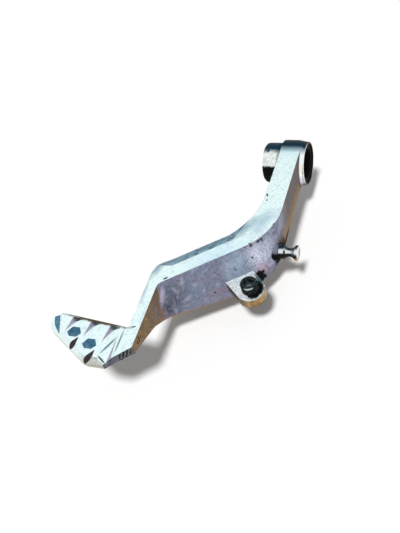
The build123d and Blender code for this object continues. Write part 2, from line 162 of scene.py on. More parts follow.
class Board:
    """A material being painted: its colour, roughness and metal so far, and its relief."""

    def __init__(
        self, name: str, colour: str, metallic: float, roughness: float, specular: float,
    ) -> None:
        """Start a material that is the same all over.

        Args:
            name: Name of the material.
            colour: Its colour as sRGB hex.
            metallic: Its share of bare metal.
            roughness: Its roughness.
            specular: Its specular level.
        """
        self.material = bpy.data.materials.new(name)
        self.material.use_nodes = True
        self.tree = self.material.node_tree
        self.shader = self.tree.nodes["Principled BSDF"]
        self.shader.inputs["Base Color"].default_value = linear(colour)
        self.shader.inputs["Metallic"].default_value = metallic
        self.shader.inputs["Roughness"].default_value = roughness
        self.shader.inputs["Specular IOR Level"].default_value = specular
        self.place = self.add("ShaderNodeTexCoord", output="Object")
        self.normal = self.add("ShaderNodeNewGeometry", output="Normal")

    def add(
        self, kind: str, sockets: Sockets | None = None, output: str | int = 0, **options: Any,
    ) -> Socket:
        """Add a node to the material and give one of its outputs."""
        return add_node(self.tree, kind, sockets, **options).outputs[output]

    def patches(
        self, size: float, stretch: Point = EVEN, turn: Point = UNTURNED,
        detail: float = PATCH_DETAIL,
    ) -> Socket:
        """Noise of a real size, stretched along its turned axes.

        Args:
            size: Width of one patch in mm.
            stretch: How many times longer a patch is along each axis.
            turn: Turn of those axes in degrees.
            detail: Octaves of finer noise.

        Returns:
            The noise's value.
        """
        place = self.place
        if stretch != EVEN:
            turned = [math.radians(angle) for angle in turn]
            sockets = {"Vector": place, "Rotation": turned, "Scale": stretch}
            place = self.add("ShaderNodeMapping", sockets, vector_type="TEXTURE")
        sockets = {"Vector": place, "Scale": 1 / (size * MM), "Detail": detail}
        return self.add("ShaderNodeTexNoise", {**sockets, "Roughness": PATCH_ROUGHNESS}, "Fac")

    def along(self, direction: Point, rag: float) -> Socket:
        """Distance along a direction, which strays a little from place to place.

        Args:
            direction: The way in which the distance grows.
            rag: How far it strays to either side, in mm.

        Returns:
            The distance from the origin, in metres.
        """
        sockets = {0: self.place, 1: Vector(direction).normalized()}
        reach = self.add("ShaderNodeVectorMath", sockets, "Value", operation="DOT_PRODUCT")
        if rag:
            sockets = {0: self.patches(2 * rag), 1: 2 * rag * MM, 2: -rag * MM}
            stray = self.add("ShaderNodeMath", sockets, operation="MULTIPLY_ADD")
            reach = self.add("ShaderNodeMath", {0: reach, 1: stray}, operation="ADD")
        return reach

    def blob(
        self, centre: Point, reach: Point, turn: Point = UNTURNED,
        soft: float = 0.5, rag: float = 0.5, grain: float = 2.0,
    ) -> Socket:
        """Mask of a ragged ellipsoid about a point of the part.

        Args:
            centre: The ellipsoid's middle in mm.
            reach: Its half axes in mm.
            turn: Their turn in degrees.
            soft: Share of the reach over which the mask fades in.
            rag: Raggedness of the outline, as a share of the reach.
            grain: Size of the rags in mm.

        Returns:
            The mask's value, 1 inside and 0 outside.
        """
        sockets = {
            "Vector": self.place,
            "Location": [value * MM for value in centre],
            "Rotation": [math.radians(angle) for angle in turn],
            "Scale": [value * MM for value in reach],
        }
        inside = self.add("ShaderNodeMapping", sockets, vector_type="TEXTURE")
        length = self.add("ShaderNodeVectorMath", {0: inside}, "Value", operation="LENGTH")
        sockets = {0: self.patches(grain), 1: 2 * rag, 2: -rag}
        stray = self.add("ShaderNodeMath", sockets, operation="MULTIPLY_ADD")
        ragged = self.add("ShaderNodeMath", {0: length, 1: stray}, operation="ADD")
        sockets = {"Value": ragged, "From Min": 1, "From Max": 1 - soft}
        return self.add("ShaderNodeMapRange", sockets)

    def lay(self, mask: Socket, coat: Coat) -> None:
        """Lay a coat over what is painted so far.

        Args:
            mask: How much of the coat shows, from 0 to 1.
            coat: The coat's colour, metal, roughness and specular level.
        """
        self._mix("Base Color", mask, linear(coat.colour), Blend.RGBA)
        amounts = {
            "Metallic": coat.metallic,
            "Roughness": coat.roughness,
            "Specular IOR Level": coat.specular,
        }
        for name, amount in amounts.items():
            if amount is not None:
                self._mix(name, mask, amount, Blend.FLOAT)

    def lay_where(
        self, value: Socket, start: float, end: float, strength: float, coat: Coat,
    ) -> None:
        """Lay a coat that sets in where a value passes start, and is full where it passes end."""
        sockets = {"Value": value, "From Min": start, "From Max": end, "To Max": strength}
        self.lay(self.add("ShaderNodeMapRange", sockets), coat)

    def _mix(self, name: str, mask: Socket, value: Colour | float, blend: Blend) -> None:
        """Mix a value into one of the shader's sockets.

        Args:
            name: The shader's socket.
            mask: How much of the value shows, from 0 to 1.
            value: The colour or amount to mix in.
            blend: Which of the two it is.
        """
        socket = self.shader.inputs[name]
        before = socket.links[0].from_socket if socket.is_linked else socket.default_value
        first, second, result = blend.value
        sockets = {0: mask, first: before, second: value}
        mixed = self.add("ShaderNodeMix", sockets, result, data_type=blend.name)
        self.tree.links.new(mixed, socket)

    def relief(self, height: Socket, depth: float) -> None:
        """Raise the surface, over what is raised so far.

        Args:
            height: The height, from 0 to 1.
            depth: What a height of 1 is, in mm.
        """
        sockets = {"Height": height, "Distance": depth * MM, "Strength": 1.0}
        socket = self.shader.inputs["Normal"]
        if socket.is_linked:
            sockets["Normal"] = socket.links[0].from_socket
        self.tree.links.new(self.add("ShaderNodeBump", sockets), socket)


class Layer(Protocol):
    """Anything laid on a finish: marks of use, and painted light and shade."""

    def paint(self, board: Board) -> None:
        """Paint it on a material."""


@dataclass(frozen=True)
class Clouds:
    """Soft patches, or streaks where they are stretched.

    The patches begin where the noise passes start, and are full where it passes end.
    """

    size: float
    coat: Coat
    start: float
    end: float
    strength: float
    stretch: Point = EVEN
    turn: Point = UNTURNED
    depth: float = 0.0

    def paint(self, board: Board) -> None:
        """Lay the patches, and press them in where they have a depth.

        Args:
            board: The material being painted.
        """
        noise = board.patches(self.size, self.stretch, self.turn)
        board.lay_where(noise, self.start, self.end, self.strength, self.coat)
        if self.depth:
            sockets = {"Value": noise, "From Min": self.end, "From Max": self.start}
            board.relief(board.add("ShaderNodeMapRange", sockets), self.depth)


@dataclass(frozen=True)
class Specks:
    """Round specks scattered at a spacing, of which only a share is there."""

    coat: Coat
    spacing: float
    radius: float
    share: float
    strength: float
    depth: float = 0.0
    centre: Point | None = None
    reach: Point = EVEN

    def paint(self, board: Board) -> None:
        """Lay the specks, about the centre if there is one, and sink them by their depth.

        Args:
            board: The material being painted.
        """
        radius = self.radius / self.spacing
        sockets = {"Vector": board.place, "Scale": 1 / (self.spacing * MM)}
        cells = add_node(board.tree, "ShaderNodeTexVoronoi", sockets).outputs
        draw = add_node(board.tree, "ShaderNodeSeparateColor", {0: cells["Color"]}).outputs
        sockets = {"Value": draw[1], "From Min": SPECK_DRAW_FROM, "From Max": SPECK_DRAW_TO}
        sockets = {0: cells["Distance"], 1: board.add("ShaderNodeMapRange", sockets)}
        reach = board.add("ShaderNodeMath", sockets, operation="DIVIDE")
        sockets = {0: board.patches(self.radius), 1: radius}
        stray = board.add("ShaderNodeMath", sockets, operation="MULTIPLY")
        sockets = {
            "Value": board.add("ShaderNodeMath", {0: reach, 1: stray}, operation="ADD"),
            "From Min": SPECK_OUTER * radius,
            "From Max": SPECK_INNER * radius,
            "To Max": self.strength,
        }
        spot = board.add("ShaderNodeMapRange", sockets)
        there = board.add("ShaderNodeMath", {0: draw[0], 1: self.share}, operation="LESS_THAN")
        mask = board.add("ShaderNodeMath", {0: spot, 1: there}, operation="MULTIPLY")
        if self.centre:
            sockets = {0: mask, 1: board.blob(self.centre, self.reach)}
            mask = board.add("ShaderNodeMath", sockets, operation="MULTIPLY")
        board.lay(mask, self.coat)
        if self.depth:
            height = board.add("ShaderNodeMath", {0: 1.0, 1: mask}, operation="SUBTRACT")
            board.relief(height, self.depth)


@dataclass(frozen=True)
class Stain:
    """One stained, worn or dirty place, or one painted highlight or patch of shade: a ragged
    ellipsoid about a point of the part.
    """

    centre: Point
    reach: Point
    coat: Coat
    strength: float = 1.0
    turn: Point = UNTURNED
    soft: float = 0.5
    rag: float = 0.5
    grain: float = 2.0

    def paint(self, board: Board) -> None:
        """Lay the stain inside its ragged outline.

        Args:
            board: The material being painted.
        """
        mask = board.blob(self.centre, self.reach, self.turn, self.soft, self.rag, self.grain)
        faded = board.add("ShaderNodeMath", {0: mask, 1: self.strength}, operation="MULTIPLY")
        board.lay(faded, self.coat)


@dataclass(frozen=True)
class Hatch:
    """A row of ragged strokes inside an ellipsoid, such as the chatter marks of a cutter."""

    centre: Point
    reach: Point
    coat: Coat
    across: Point
    spacing: float
    width: float
    rag: float

    def paint(self, board: Board) -> None:
        """Lay the strokes, one every spacing.

        Args:
            board: The material being painted.
        """
        sockets = {0: board.along(self.across, self.rag), 1: self.spacing * MM / 2}
        sockets = {
            "Value": board.add("ShaderNodeMath", sockets, operation="PINGPONG"),
            "From Min": STROKE_OUTER * self.width * MM,
            "From Max": STROKE_INNER * self.width * MM,
        }
        stroke = board.add("ShaderNodeMapRange", sockets)
        sockets = {0: stroke, 1: board.blob(self.centre, self.reach)}
        board.lay(board.add("ShaderNodeMath", sockets, operation="MULTIPLY"), self.coat)


@dataclass(frozen=True)
class Facing:
    """A tint on the faces that look one way."""

    direction: Point
    coat: Coat
    start: float
    end: float
    strength: float = 1.0

    def paint(self, board: Board) -> None:
        """Lay the tint by the angle between the face and the direction.

        Args:
            board: The material being painted.
        """
        sockets = {0: board.normal, 1: Vector(self.direction).normalized()}
        along = board.add("ShaderNodeVectorMath", sockets, "Value", operation="DOT_PRODUCT")
        board.lay_where(along, self.start, self.end, self.strength, self.coat)


@dataclass(frozen=True)
class Beyond:
    """A coat on everything past a plane, which fades in over a soft stretch."""

    point: Point
    direction: Point
    coat: Coat
    soft: float = 1.0
    rag: float = 0.0
    strength: float = 1.0

    def paint(self, board: Board) -> None:
        """Lay the coat by the distance past the plane.

        Args:
            board: The material being painted.
        """
        start = Vector(self.direction).normalized().dot(Vector(self.point)) * MM
        along = board.along(self.direction, self.rag)
        board.lay_where(along, start, start + self.soft * MM, self.strength, self.coat)


@dataclass(frozen=True)
class Grain:
    """Fine relief all over."""

    size: float
    depth: float

    def paint(self, board: Board) -> None:
        """Press the grain into the surface."""
        board.relief(board.patches(self.size, detail=GRAIN_DETAIL), self.depth)


@dataclass(frozen=True)
class Finish:
    """One finish of the part: what it is made of, and the layers laid on it: marks of use, and
    painted light and shade.
    """

    name: str
    colour: str
    metallic: float
    roughness: float
    layers: tuple[Layer, ...] = ()
    specular: float = 0.5

    def material(self) -> bpy.types.Material:
        """Paint the finish as a material.

        Returns:
            The material, named for the finish.
        """
        board = Board(self.name, self.colour, self.metallic, self.roughness, self.specular)
        for layer in self.layers:
            layer.paint(board)
        return board.material


def chips(coat: Coat, *rows: tuple[Point, Point, Point, float, float]) -> tuple[Stain, ...]:
    """Small chips and pits, with finely ragged edges.

    Args:
        coat: What shows in them.
        rows: Centre, reach, turn, strength and raggedness of each.

    Returns:
        A stain for each row.
    """
    return tuple(
        Stain(centre, reach, coat, strength, turn, rag=rag, grain=CHIP_GRAIN)
        for centre, reach, turn, strength, rag in rows
    )


# Black: soot and oil in some places, and painted shade and a painted black reflection in others
SOOT_AND_PAINTED_SHADE = Coat("#08090a", metallic=0.0, roughness=0.75, specular=0.1)
# Near black: nicks and pits, and painted shade in creases and where parts meet
NICK_AND_PAINTED_SHADE = Coat("#121517", metallic=0.2, roughness=0.7, specular=0.1)
# Blue black: a painted reflection of a dark surround
PAINTED_DARK_REFLECTION = Coat("#17394a", metallic=0.7, roughness=0.5, specular=0.2)
PALE = Coat("#a6acae", roughness=0.35)
# Golden brown: a painted warm reflection on faces that look down
PAINTED_WARM_REFLECTION = Coat("#9c6f3f", roughness=0.4)
BARE = Coat("#b9bcbb", metallic=1.0, roughness=0.36, specular=0.5)

# A pixel of the main render is about 0.6 mm. Hair scratches, lathe marks and the grain of cut
# and turned metal are finer than that, so they are drawn as coarse as they need to be to show.

# Polished aluminium, worn by boots: cool white, bluer on the kick, with nicks and hair scratches
POLISHED = Finish(
    "polished_aluminium_worn", "#ebffff", metallic=1.0, roughness=0.20,
    layers=(
        Stain((90, -18, 14.5), (26, 9, 4), Coat("#cfeefb"), strength=0.8, turn=(0, 0, -54),
              soft=0.8, rag=0.4, grain=5),
        Stain((69, -8, 14.5), (16, 4.5, 4), Coat("#7f9dad"), strength=0.9, turn=(0, 0, -36),
              soft=0.9, rag=0.5, grain=4),
        Stain((63, 2, 14.5), (15, 7, 4), Coat("#b0cedd"), strength=0.85, turn=(0, 0, -24),
              soft=0.9, rag=0.6, grain=6),
        Stain((103, -51, 14.5), (13, 4.0, 4), Coat("#86a2b0"), strength=0.85, turn=(0, 0, -24),
              soft=0.9, rag=0.4, grain=3),
        Stain((119, -53, 14.5), (11, 2.6, 4), Coat("#9fb8c3"), strength=0.8, soft=0.9, rag=0.3,
              grain=3),
        Clouds(2.6, Coat("#b4d2e0"), start=0.53, end=0.70, strength=0.4),
        Clouds(1.1, Coat("#a8c6d6"), start=0.54, end=0.70, strength=0.35),
        Clouds(0.6, Coat("#9db6c4"), start=0.58, end=0.70, strength=0.4, stretch=(14, 1, 1),
               turn=(0, 0, -38)),
        Specks(NICK_AND_PAINTED_SHADE, spacing=6.0, radius=0.25, share=0.10, strength=0.6, depth=0.05),
        *chips(
            NICK_AND_PAINTED_SHADE,
            ((79.9, -0.9, 14.2), (2.0, 1.4, 1.8), (0, 0, 60), 1.0, 0.4),
            ((108.6, -43.2, 14.5), (2.0, 0.75, 1.5), (0, 0, -53), 1.0, 0.3),
            ((110.5, -41.7, 14.5), (1.2, 0.9, 1.5), (0, 0, -53), 1.0, 0.3),
            ((142.2, -50.2, 14.5), (1.7, 0.55, 1.5), (0, 0, 107), 1.0, 0.4),
            ((42.0, -0.6, 14.5), (1.8, 0.6, 1.5), (0, 0, 15), 1.0, 0.5),
            ((64.0, 8.6, 14.2), (1.2, 0.7, 1.8), (0, 0, -20), 0.9, 0.6),
            ((46.0, 0.2, 14.2), (1.0, 0.6, 1.8), (0, 0, 15), 0.9, 0.6),
        ),
        # Painted shade: a brown line along the pad's rear edge, and teal, black and grey lines
        # along its creases
        Stain((141.2, -73.0, 14.5), (2.1, 26, 1.6), Coat("#5f5140", roughness=0.4),
              turn=(0, 0, -5.5), rag=0.3),
        Stain((155.4, -60.2, 14.2), (7.4, 0.75, 1.5), Coat("#5f8894"), strength=0.95,
              turn=(0, 0, -27), soft=0.4, rag=0.15),
        Stain((164.0, -61.0, 13.8), (0.6, 4.0, 2.5), NICK_AND_PAINTED_SHADE, strength=0.95, turn=(0, 0, -32),
              soft=0.4, rag=0.15),
        Stain((152.0, -54.9, 14.5), (9.0, 0.7, 1.0), Coat("#7b95a2"), strength=0.95, soft=0.5,
              rag=0.15),
        # Painted reflection where the top meets the boss: pale blue, then blue black
        Beyond((11, 0, 14.5), (-1, 0, 0), Coat("#cdeffd"), soft=8, rag=0.5, strength=0.8),
        Beyond((5.6, 0, 14.5), (-1, 0, 0), PAINTED_DARK_REFLECTION, soft=6, rag=0.5),
        Grain(size=0.5, depth=0.006),
    ),
)

# The same aluminium on the long bevel, which boots don't reach: slate grey, partly its duller
# finish and partly a painted dark reflection, blotched
BEVELLED = Finish(
    "bevelled_aluminium_dull", "#8eb1c1", metallic=0.6, roughness=0.42,
    layers=(
        Clouds(5, Coat("#4f6b78"), start=0.42, end=0.60, strength=0.8),
        Clouds(1.6, Coat("#b4cdd7"), start=0.56, end=0.68, strength=0.6),
        Stain((100, -45, 13), (14, 10, 5), Coat("#9db8c4"), strength=0.75, soft=0.9, rag=0.6,
              grain=3),
        Clouds(0.9, Coat("#3f5661"), start=0.58, end=0.68, strength=0.6),
        Grain(size=0.6, depth=0.01),
    ),
)

# Sand-cast aluminium under years of road film: blue grey and mauve, slate at the front, with
# pale spots and scratches; painted highlights at the bends, painted shade and warm reflection
# below
CAST_WALL = Finish(
    "sand_cast_aluminium_filmed", "#768098", metallic=0.5, roughness=0.45,
    layers=(
        Clouds(10, Coat("#7f7b90"), start=0.42, end=0.60, strength=0.8),
        Stain((88, -8, 4), (13, 12, 13), Coat("#bfd4ec"), strength=0.9, soft=0.9, rag=0.5,
              grain=4),
        Stain((112, -41, 2), (13, 12, 15), Coat("#4b5160"), strength=0.85, soft=0.8, rag=0.6,
              grain=5),
        Stain((116.8, -44.1, -5), (7, 8, 7), Coat("#363b4c"), strength=0.85, soft=0.8, rag=0.6,
              grain=3),
        Stain((99, -19, -7), (12, 11, 5), Coat("#86798c"), strength=0.85, soft=0.8, rag=0.6,
              grain=4),
        # Painted highlights down the rear bend, pale and then lavender white
        Stain((74, 7.5, 4), (10, 7, 14), Coat("#d2d8ee"), strength=0.9, soft=0.8, rag=0.6,
              grain=4),
        Stain((80.0, 1.2, 5.0), (8.0, 7.5, 14), Coat("#e4e8fb", roughness=0.3), strength=0.8,
              soft=0.9, rag=0.8, grain=1.6),
        Stain((81.7, 4.3, -5.3), (5.0, 5.5, 5.5), Coat("#c6a5b8"), strength=0.85, soft=0.8,
              rag=0.6, grain=3),
        Clouds(1.5, Coat("#4b5163"), start=0.52, end=0.66, strength=0.6),
        Clouds(3.6, Coat("#a2abc0"), start=0.53, end=0.68, strength=0.5),
        Clouds(0.9, Coat("#aab2c4"), start=0.58, end=0.70, strength=0.5),
        Clouds(0.45, Coat("#3a3f4d"), start=0.62, end=0.70, strength=0.75, stretch=(10, 1, 1),
               turn=(0, 12, -50)),
        Stain((106.4, -35.5, 8.5), (2.0, 2.6, 1.8), PALE, strength=0.6, soft=0.7, rag=1.2,
              grain=1.0),
        Stain((110.1, -40.1, 7.1), (1.2, 1.6, 1.0), PALE, strength=0.55, soft=0.7, rag=1.2,
              grain=0.8),
        Stain((109.5, -34.9, -3.0), (1.5, 1.9, 1.6), PALE, strength=0.5, soft=0.7, rag=1.2,
              grain=0.8),
        Stain((111.0, -35.2, -7.1), (1.5, 2.0, 1.2), PALE, strength=0.5, soft=0.7, rag=1.2,
              grain=0.8),
        Specks(PALE, spacing=1.5, radius=0.45, share=0.4, strength=0.55, centre=(108, -37, 4),
               reach=(10, 12, 10)),
        Specks(PALE, spacing=3.4, radius=0.5, share=0.16, strength=0.4),
        Specks(SOOT_AND_PAINTED_SHADE, spacing=2.8, radius=0.4, share=0.20, strength=0.85, depth=0.08),
        Specks(SOOT_AND_PAINTED_SHADE, spacing=1.5, radius=0.34, share=0.5, strength=0.9, depth=0.05,
               centre=(80, 3, 2), reach=(8, 8, 12)),
        # Painted highlight down the corner into the front wall
        Stain((114.5, -46.4, 6.5), (2.6, 2.6, 12), Coat("#beb4cd"), strength=0.9, turn=(0, -36, 0),
              soft=0.8, rag=0.4),
        Stain((121, -46.2, -4.5), (4.0, 4.0, 5), Coat("#8d6068"), strength=0.7, soft=0.8, rag=0.8),
        # Painted warm reflection along the lower edge
        Beyond((103, -22, -12.2), (0.213, 0, -1), Coat("#a0724a", roughness=0.4), soft=0.8,
               rag=0.3, strength=0.9),
        *chips(
            SOOT_AND_PAINTED_SHADE,
            ((82.2, -0.8, 5.3), (0.9, 0.9, 1.1), UNTURNED, 0.95, 0.8),
            ((80.1, -0.5, 13.3), (1.8, 1.8, 1.9), UNTURNED, 0.95, 0.5),
            ((76.4, 2.4, 13.0), (1.5, 1.5, 1.3), UNTURNED, 0.95, 0.6),
            ((74.6, 3.8, 12.8), (1.3, 1.3, 1.1), UNTURNED, 0.95, 0.6),
            ((74.4, 4.5, 11.4), (1.0, 1.0, 1.0), UNTURNED, 0.9, 0.6),
            ((79.2, 4.9, 1.3), (0.9, 0.9, 1.6), UNTURNED, 0.85, 0.8),
            ((100.5, -21.1, -6.3), (0.8, 1.0, 0.8), UNTURNED, 0.9, 0.6),
        ),
        # Black low on the wall by the lug, and under the spring pin as painted shade with oil
        Stain((85.2, 2.1, -9.5), (5.6, 6.2, 5.4), SOOT_AND_PAINTED_SHADE, soft=0.3, rag=0.8, grain=2.2),
        Stain((70.0, 10.4, -9.5), (10, 4.0, 5.5), SOOT_AND_PAINTED_SHADE, soft=0.5, rag=0.5, grain=3),
        Stain((66.5, 10.8, -4.0), (5.0, 3.0, 7.0), SOOT_AND_PAINTED_SHADE, strength=0.9, soft=0.6, rag=0.6),
        # Painted warm reflection on the faces that look down
        Facing((0.6, 0.43, -0.67), PAINTED_WARM_REFLECTION, start=0.72, end=0.86, strength=0.9),
        Grain(size=0.9, depth=0.03),
    ),
)

# The wall between the boss and the spring pin, rubbed less and oilier: taupe, with a painted warm
# reflection along its lower edge, and black under the spring pin as painted shade with oil
REAR_WALL = Finish(
    "sand_cast_aluminium_taupe", "#645b57", metallic=0.2, roughness=0.55,
    layers=(
        Beyond((44, 0, 0), (1, 0, 0), Coat("#a3a3b8"), soft=16, rag=2.0),
        Clouds(6, Coat("#5f5452"), start=0.44, end=0.62, strength=0.7),
        Clouds(1.3, Coat("#9d918a"), start=0.56, end=0.70, strength=0.5),
        Clouds(0.6, Coat("#38312f"), start=0.60, end=0.68, strength=0.6, stretch=(8, 1, 1),
               turn=(0, 8, 0)),
        Specks(SOOT_AND_PAINTED_SHADE, spacing=3.0, radius=0.45, share=0.16, strength=0.8, depth=0.08),
        # Painted warm reflection along the lower edge
        Beyond((0, 0, 1.8), (0, 0, -1), Coat("#94703f"), soft=5.0, rag=0.8, strength=0.9),
        # Painted shade, with oil: black under the spring pin and along the lower edge by it
        Stain((63.0, 10.8, -6.0), (6.0, 3.0, 8.0), SOOT_AND_PAINTED_SHADE, soft=0.6, rag=0.5, grain=3),
        Stain((56.0, 10.8, -7.5), (12, 3.0, 2.2), SOOT_AND_PAINTED_SHADE, soft=0.6, rag=0.4),
        Stain((15, 10.8, -3), (4, 2, 5), Coat("#3d3434"), strength=0.8, soft=0.8, rag=0.6),
        Grain(size=0.9, depth=0.03),
    ),
    specular=0.2,
)

# The wall behind the foot pad, stained by oil: brown, partly a painted warm reflection, golden
# along its lower edge as a painted warm reflection
FRONT_WALL = Finish(
    "sand_cast_aluminium_browned", "#8e724d", metallic=0.2, roughness=0.55,
    layers=(
        Clouds(6, Coat("#775f47"), start=0.44, end=0.62, strength=0.8),
        Stain((124, -46.6, 4), (8, 3, 12), Coat("#8a7671"), strength=0.85, soft=0.8, rag=0.5,
              grain=4),
        # Painted highlight down the corner from the kick wall
        Stain((114.8, -46.6, 6.5), (2.8, 2.6, 12), Coat("#beb4cd"), strength=0.9, turn=(0, -36, 0),
              soft=0.8, rag=0.4),
        Clouds(1.4, Coat("#c0a479"), start=0.55, end=0.67, strength=0.6),
        Clouds(1.3, Coat("#44362d"), start=0.54, end=0.65, strength=0.75),
        *chips(
            SOOT_AND_PAINTED_SHADE,
            ((146.8, -46.6, 10.6), (0.7, 1.5, 2.8), (0, -18, 0), 1.0, 0.4),
            ((148.8, -46.6, 10.2), (0.6, 1.5, 2.2), (0, -18, 0), 1.0, 0.4),
            ((144.8, -46.6, 9.6), (0.4, 1.5, 1.3), (0, -18, 0), 0.9, 0.4),
        ),
        # Painted warm reflection on the faces that look down
        Facing((0, 0.75, -0.66), PAINTED_WARM_REFLECTION, start=0.8, end=0.92, strength=0.9),
        Grain(size=0.9, depth=0.03),
    ),
    specular=0.2,
)

# As-cast underside: the same skin, browned by chain oil
UNDERSIDE = Finish(
    "cast_aluminium_oiled", "#8c7a68", metallic=0.7, roughness=0.45,
    layers=(
        Clouds(9, Coat("#6d6259"), start=0.44, end=0.62, strength=0.8),
        Clouds(2.0, Coat("#a8957c"), start=0.56, end=0.70, strength=0.6),
        Specks(SOOT_AND_PAINTED_SHADE, spacing=3.0, radius=0.5, share=0.25, strength=0.6, depth=0.06),
        Grain(size=0.9, depth=0.04),
    ),
)

# Steep side of a tread groove, left as cut: mauve and even
TREAD_WALL = Finish(
    "cut_aluminium_mauve", "#b3abc2", metallic=0.85, roughness=0.38,
    layers=(Clouds(2.5, Coat("#9088a2"), start=0.46, end=0.64, strength=0.7),
            Grain(size=0.5, depth=0.01)),
)

# Hollows and the tip's groove: blue slate, a painted reflection of a dark surround
TREAD_SLATE = Finish(
    "slate_reflection_aluminium", "#5f89a3", metallic=0.5, roughness=0.45,
    layers=(Clouds(3.0, Coat("#41708c"), start=0.42, end=0.58, strength=0.9),
            Grain(size=0.5, depth=0.01)),
)

# Front wall of the pad's rear rim: dark green grey, painted shade under the rim
SHADED_RIM_WALL = Finish(
    "shaded_rim_aluminium", "#39463f", metallic=0.4, roughness=0.6,
    layers=(Clouds(1.5, Coat("#1d2423"), start=0.45, end=0.6, strength=0.8),
            Grain(size=0.5, depth=0.03)),
)

# Steep sides of the front grooves: dark brown, painted shade
SHADED_GROOVE_WALL = Finish(
    "shaded_groove_aluminium", "#3a2b2a", metallic=0.3, roughness=0.6,
    layers=(
        Clouds(1.5, Coat("#1f1716"), start=0.45, end=0.6, strength=0.8),
        Clouds(0.8, Coat("#6a5850"), start=0.6, end=0.7, strength=0.6),
        Grain(size=0.5, depth=0.03),
    ),
)

# Ground end of the arm: grey, with slanted black chatter marks on its inboard half, drawn
# as wide as they need to be to show, and a painted warm reflection on its lower edge
END_FACET = Finish(
    "ground_aluminium_hatched", "#5f646b", metallic=0.7, roughness=0.42,
    layers=(
        Clouds(1.3, Coat("#474c54"), start=0.46, end=0.62, strength=0.8, stretch=(1, 1, 5),
               turn=(0, 20, 0)),
        Clouds(1.0, Coat("#9598a0"), start=0.56, end=0.66, strength=0.6),
        Clouds(0.9, SOOT_AND_PAINTED_SHADE, start=0.57, end=0.63, strength=0.9, depth=0.05),
        Hatch((157.6, -50.1, 12.4), (5.6, 5.6, 4.4), SOOT_AND_PAINTED_SHADE, across=(0.62, -0.69, 0.37), spacing=2.0,
              width=1.0, rag=0.5),
        # Painted warm reflection on the faces that look down
        Facing((0.5, 0.45, -0.74), PAINTED_WARM_REFLECTION, start=0.8, end=0.92, strength=0.9),
        Grain(size=0.6, depth=0.03),
    ),
)

# Rolled front of the pad, rubbed by soles: white above, sandy grey with dark specks below; the
# sandy grey where it looks down is a painted warm reflection
PAD_EDGE = Finish(
    "rubbed_aluminium_sandy", "#e6f6f6", metallic=1.0, roughness=0.30,
    layers=(
        Stain((164, -66, 12), (5, 8, 4), Coat("#e6e9e4", roughness=0.4), strength=0.95, soft=0.6,
              rag=0.5),
        # Painted warm reflection on the faces that look down
        Facing((0, 0, -1), Coat("#c4bca8", roughness=0.4), start=-0.5, end=-0.1, strength=0.9),
        Stain((164, -66, 12), (5, 8, 5), Coat("#72736e"), strength=0.5, soft=0.3, rag=2.4,
              grain=0.7),
        Clouds(0.8, Coat("#6d6a62"), start=0.62, end=0.70, strength=0.5),
        Grain(size=0.6, depth=0.02),
    ),
)

# Spot-faced lug: bright, pitted where a washer once sat, with a painted black shadow of the screw
# head beside the screw
LUG_FACE = Finish(
    "spot_faced_aluminium_pitted", "#f4fafb", metallic=0.4, roughness=0.4,
    layers=(
        Clouds(2.5, Coat("#b7c8d1"), start=0.46, end=0.64, strength=0.6),
        Clouds(0.6, Coat("#39434a", metallic=0.3, specular=0.2), start=0.55, end=0.62,
               strength=0.85, depth=0.05),
        # Painted shadow of the screw head
        Stain((97.0, 4.2, -3), (7.0, 4.4, 2), SOOT_AND_PAINTED_SHADE, turn=(0, 0, 10), soft=0.3, rag=0.3, grain=1.5),
        Stain((101.0, 3.0, -3), (4.6, 3.8, 2), SOOT_AND_PAINTED_SHADE, turn=(0, 0, -40), soft=0.3, rag=0.35,
              grain=1.5),
        Stain((89.5, 3.0, -3), (5.5, 2.2, 2), Coat("#234551", roughness=0.4), strength=0.9,
              turn=(0, 0, 38), soft=0.5, rag=0.3),
        Grain(size=0.5, depth=0.02),
    ),
)

# Edge of the lug: golden brown as a painted warm reflection, with painted shade on its outboard
# side, darker toward its foot, and a painted highlight along its top
LUG_RIM = Finish(
    # Golden brown: a painted warm reflection
    "cast_aluminium_golden", "#ab8c58", metallic=0.8, roughness=0.40,
    layers=(
        Clouds(3, Coat("#6b5434"), start=0.44, end=0.62, strength=0.8),
        Clouds(1.0, Coat("#c9b07c"), start=0.58, end=0.70, strength=0.6),
        # Painted shade on the outboard side
        Facing((0.4, -0.9, 0), Coat("#1e1912", metallic=0.3, specular=0.2), start=0.35, end=0.8,
               strength=0.85),
        Beyond((0, 0, -8.2), (0, 0, -1), Coat("#3b2e1f"), soft=1.6, rag=0.6, strength=0.8),
        # Painted highlight along the top
        Facing((0, 0, 1), Coat("#eef3f0", roughness=0.3), start=0.2, end=0.6),
        Grain(size=0.8, depth=0.03),
    ),
)

# Turned boss: bright, with painted reflections: dark blue over its top, a cream highlight and
# lavender on the collar, and warm brown beneath
BOSS = Finish(
    "turned_aluminium_boss", "#f0f9fb", metallic=1.0, roughness=0.26,
    layers=(
        # Painted reflections on the collar: a cream highlight, lavender below it
        Stain((12, 11, 7), (5, 4, 5), Coat("#f3eee0"), strength=0.8, soft=0.7, rag=0.3),
        Stain((13, 11, -2), (4, 5, 5), Coat("#c8bbd0"), strength=0.8, soft=0.7, rag=0.4),
        Clouds(0.5, Coat("#8d9aa3"), start=0.60, end=0.70, strength=0.4, stretch=(1, 1, 9)),
        # Painted warm reflection beneath
        Beyond((0, 0, -6.5), (0.3, 0, -1), Coat("#71543a", roughness=0.4), soft=3.0, rag=0.6,
               strength=0.95),
        # Painted dark reflection over the top
        Beyond((6.0, 0, 13.5), (-1, 0, 0.2), PAINTED_DARK_REFLECTION, soft=6, rag=0.5),
        Beyond((-2.5, 0, 14), (-1, 0, 0.1), Coat("#0b2230"), soft=4.0, rag=0.5),
        Beyond((-2.5, 0, 0), (-0.6, 0, -0.8), BARE, soft=4, rag=0.8),
        Grain(size=0.5, depth=0.01),
    ),
)

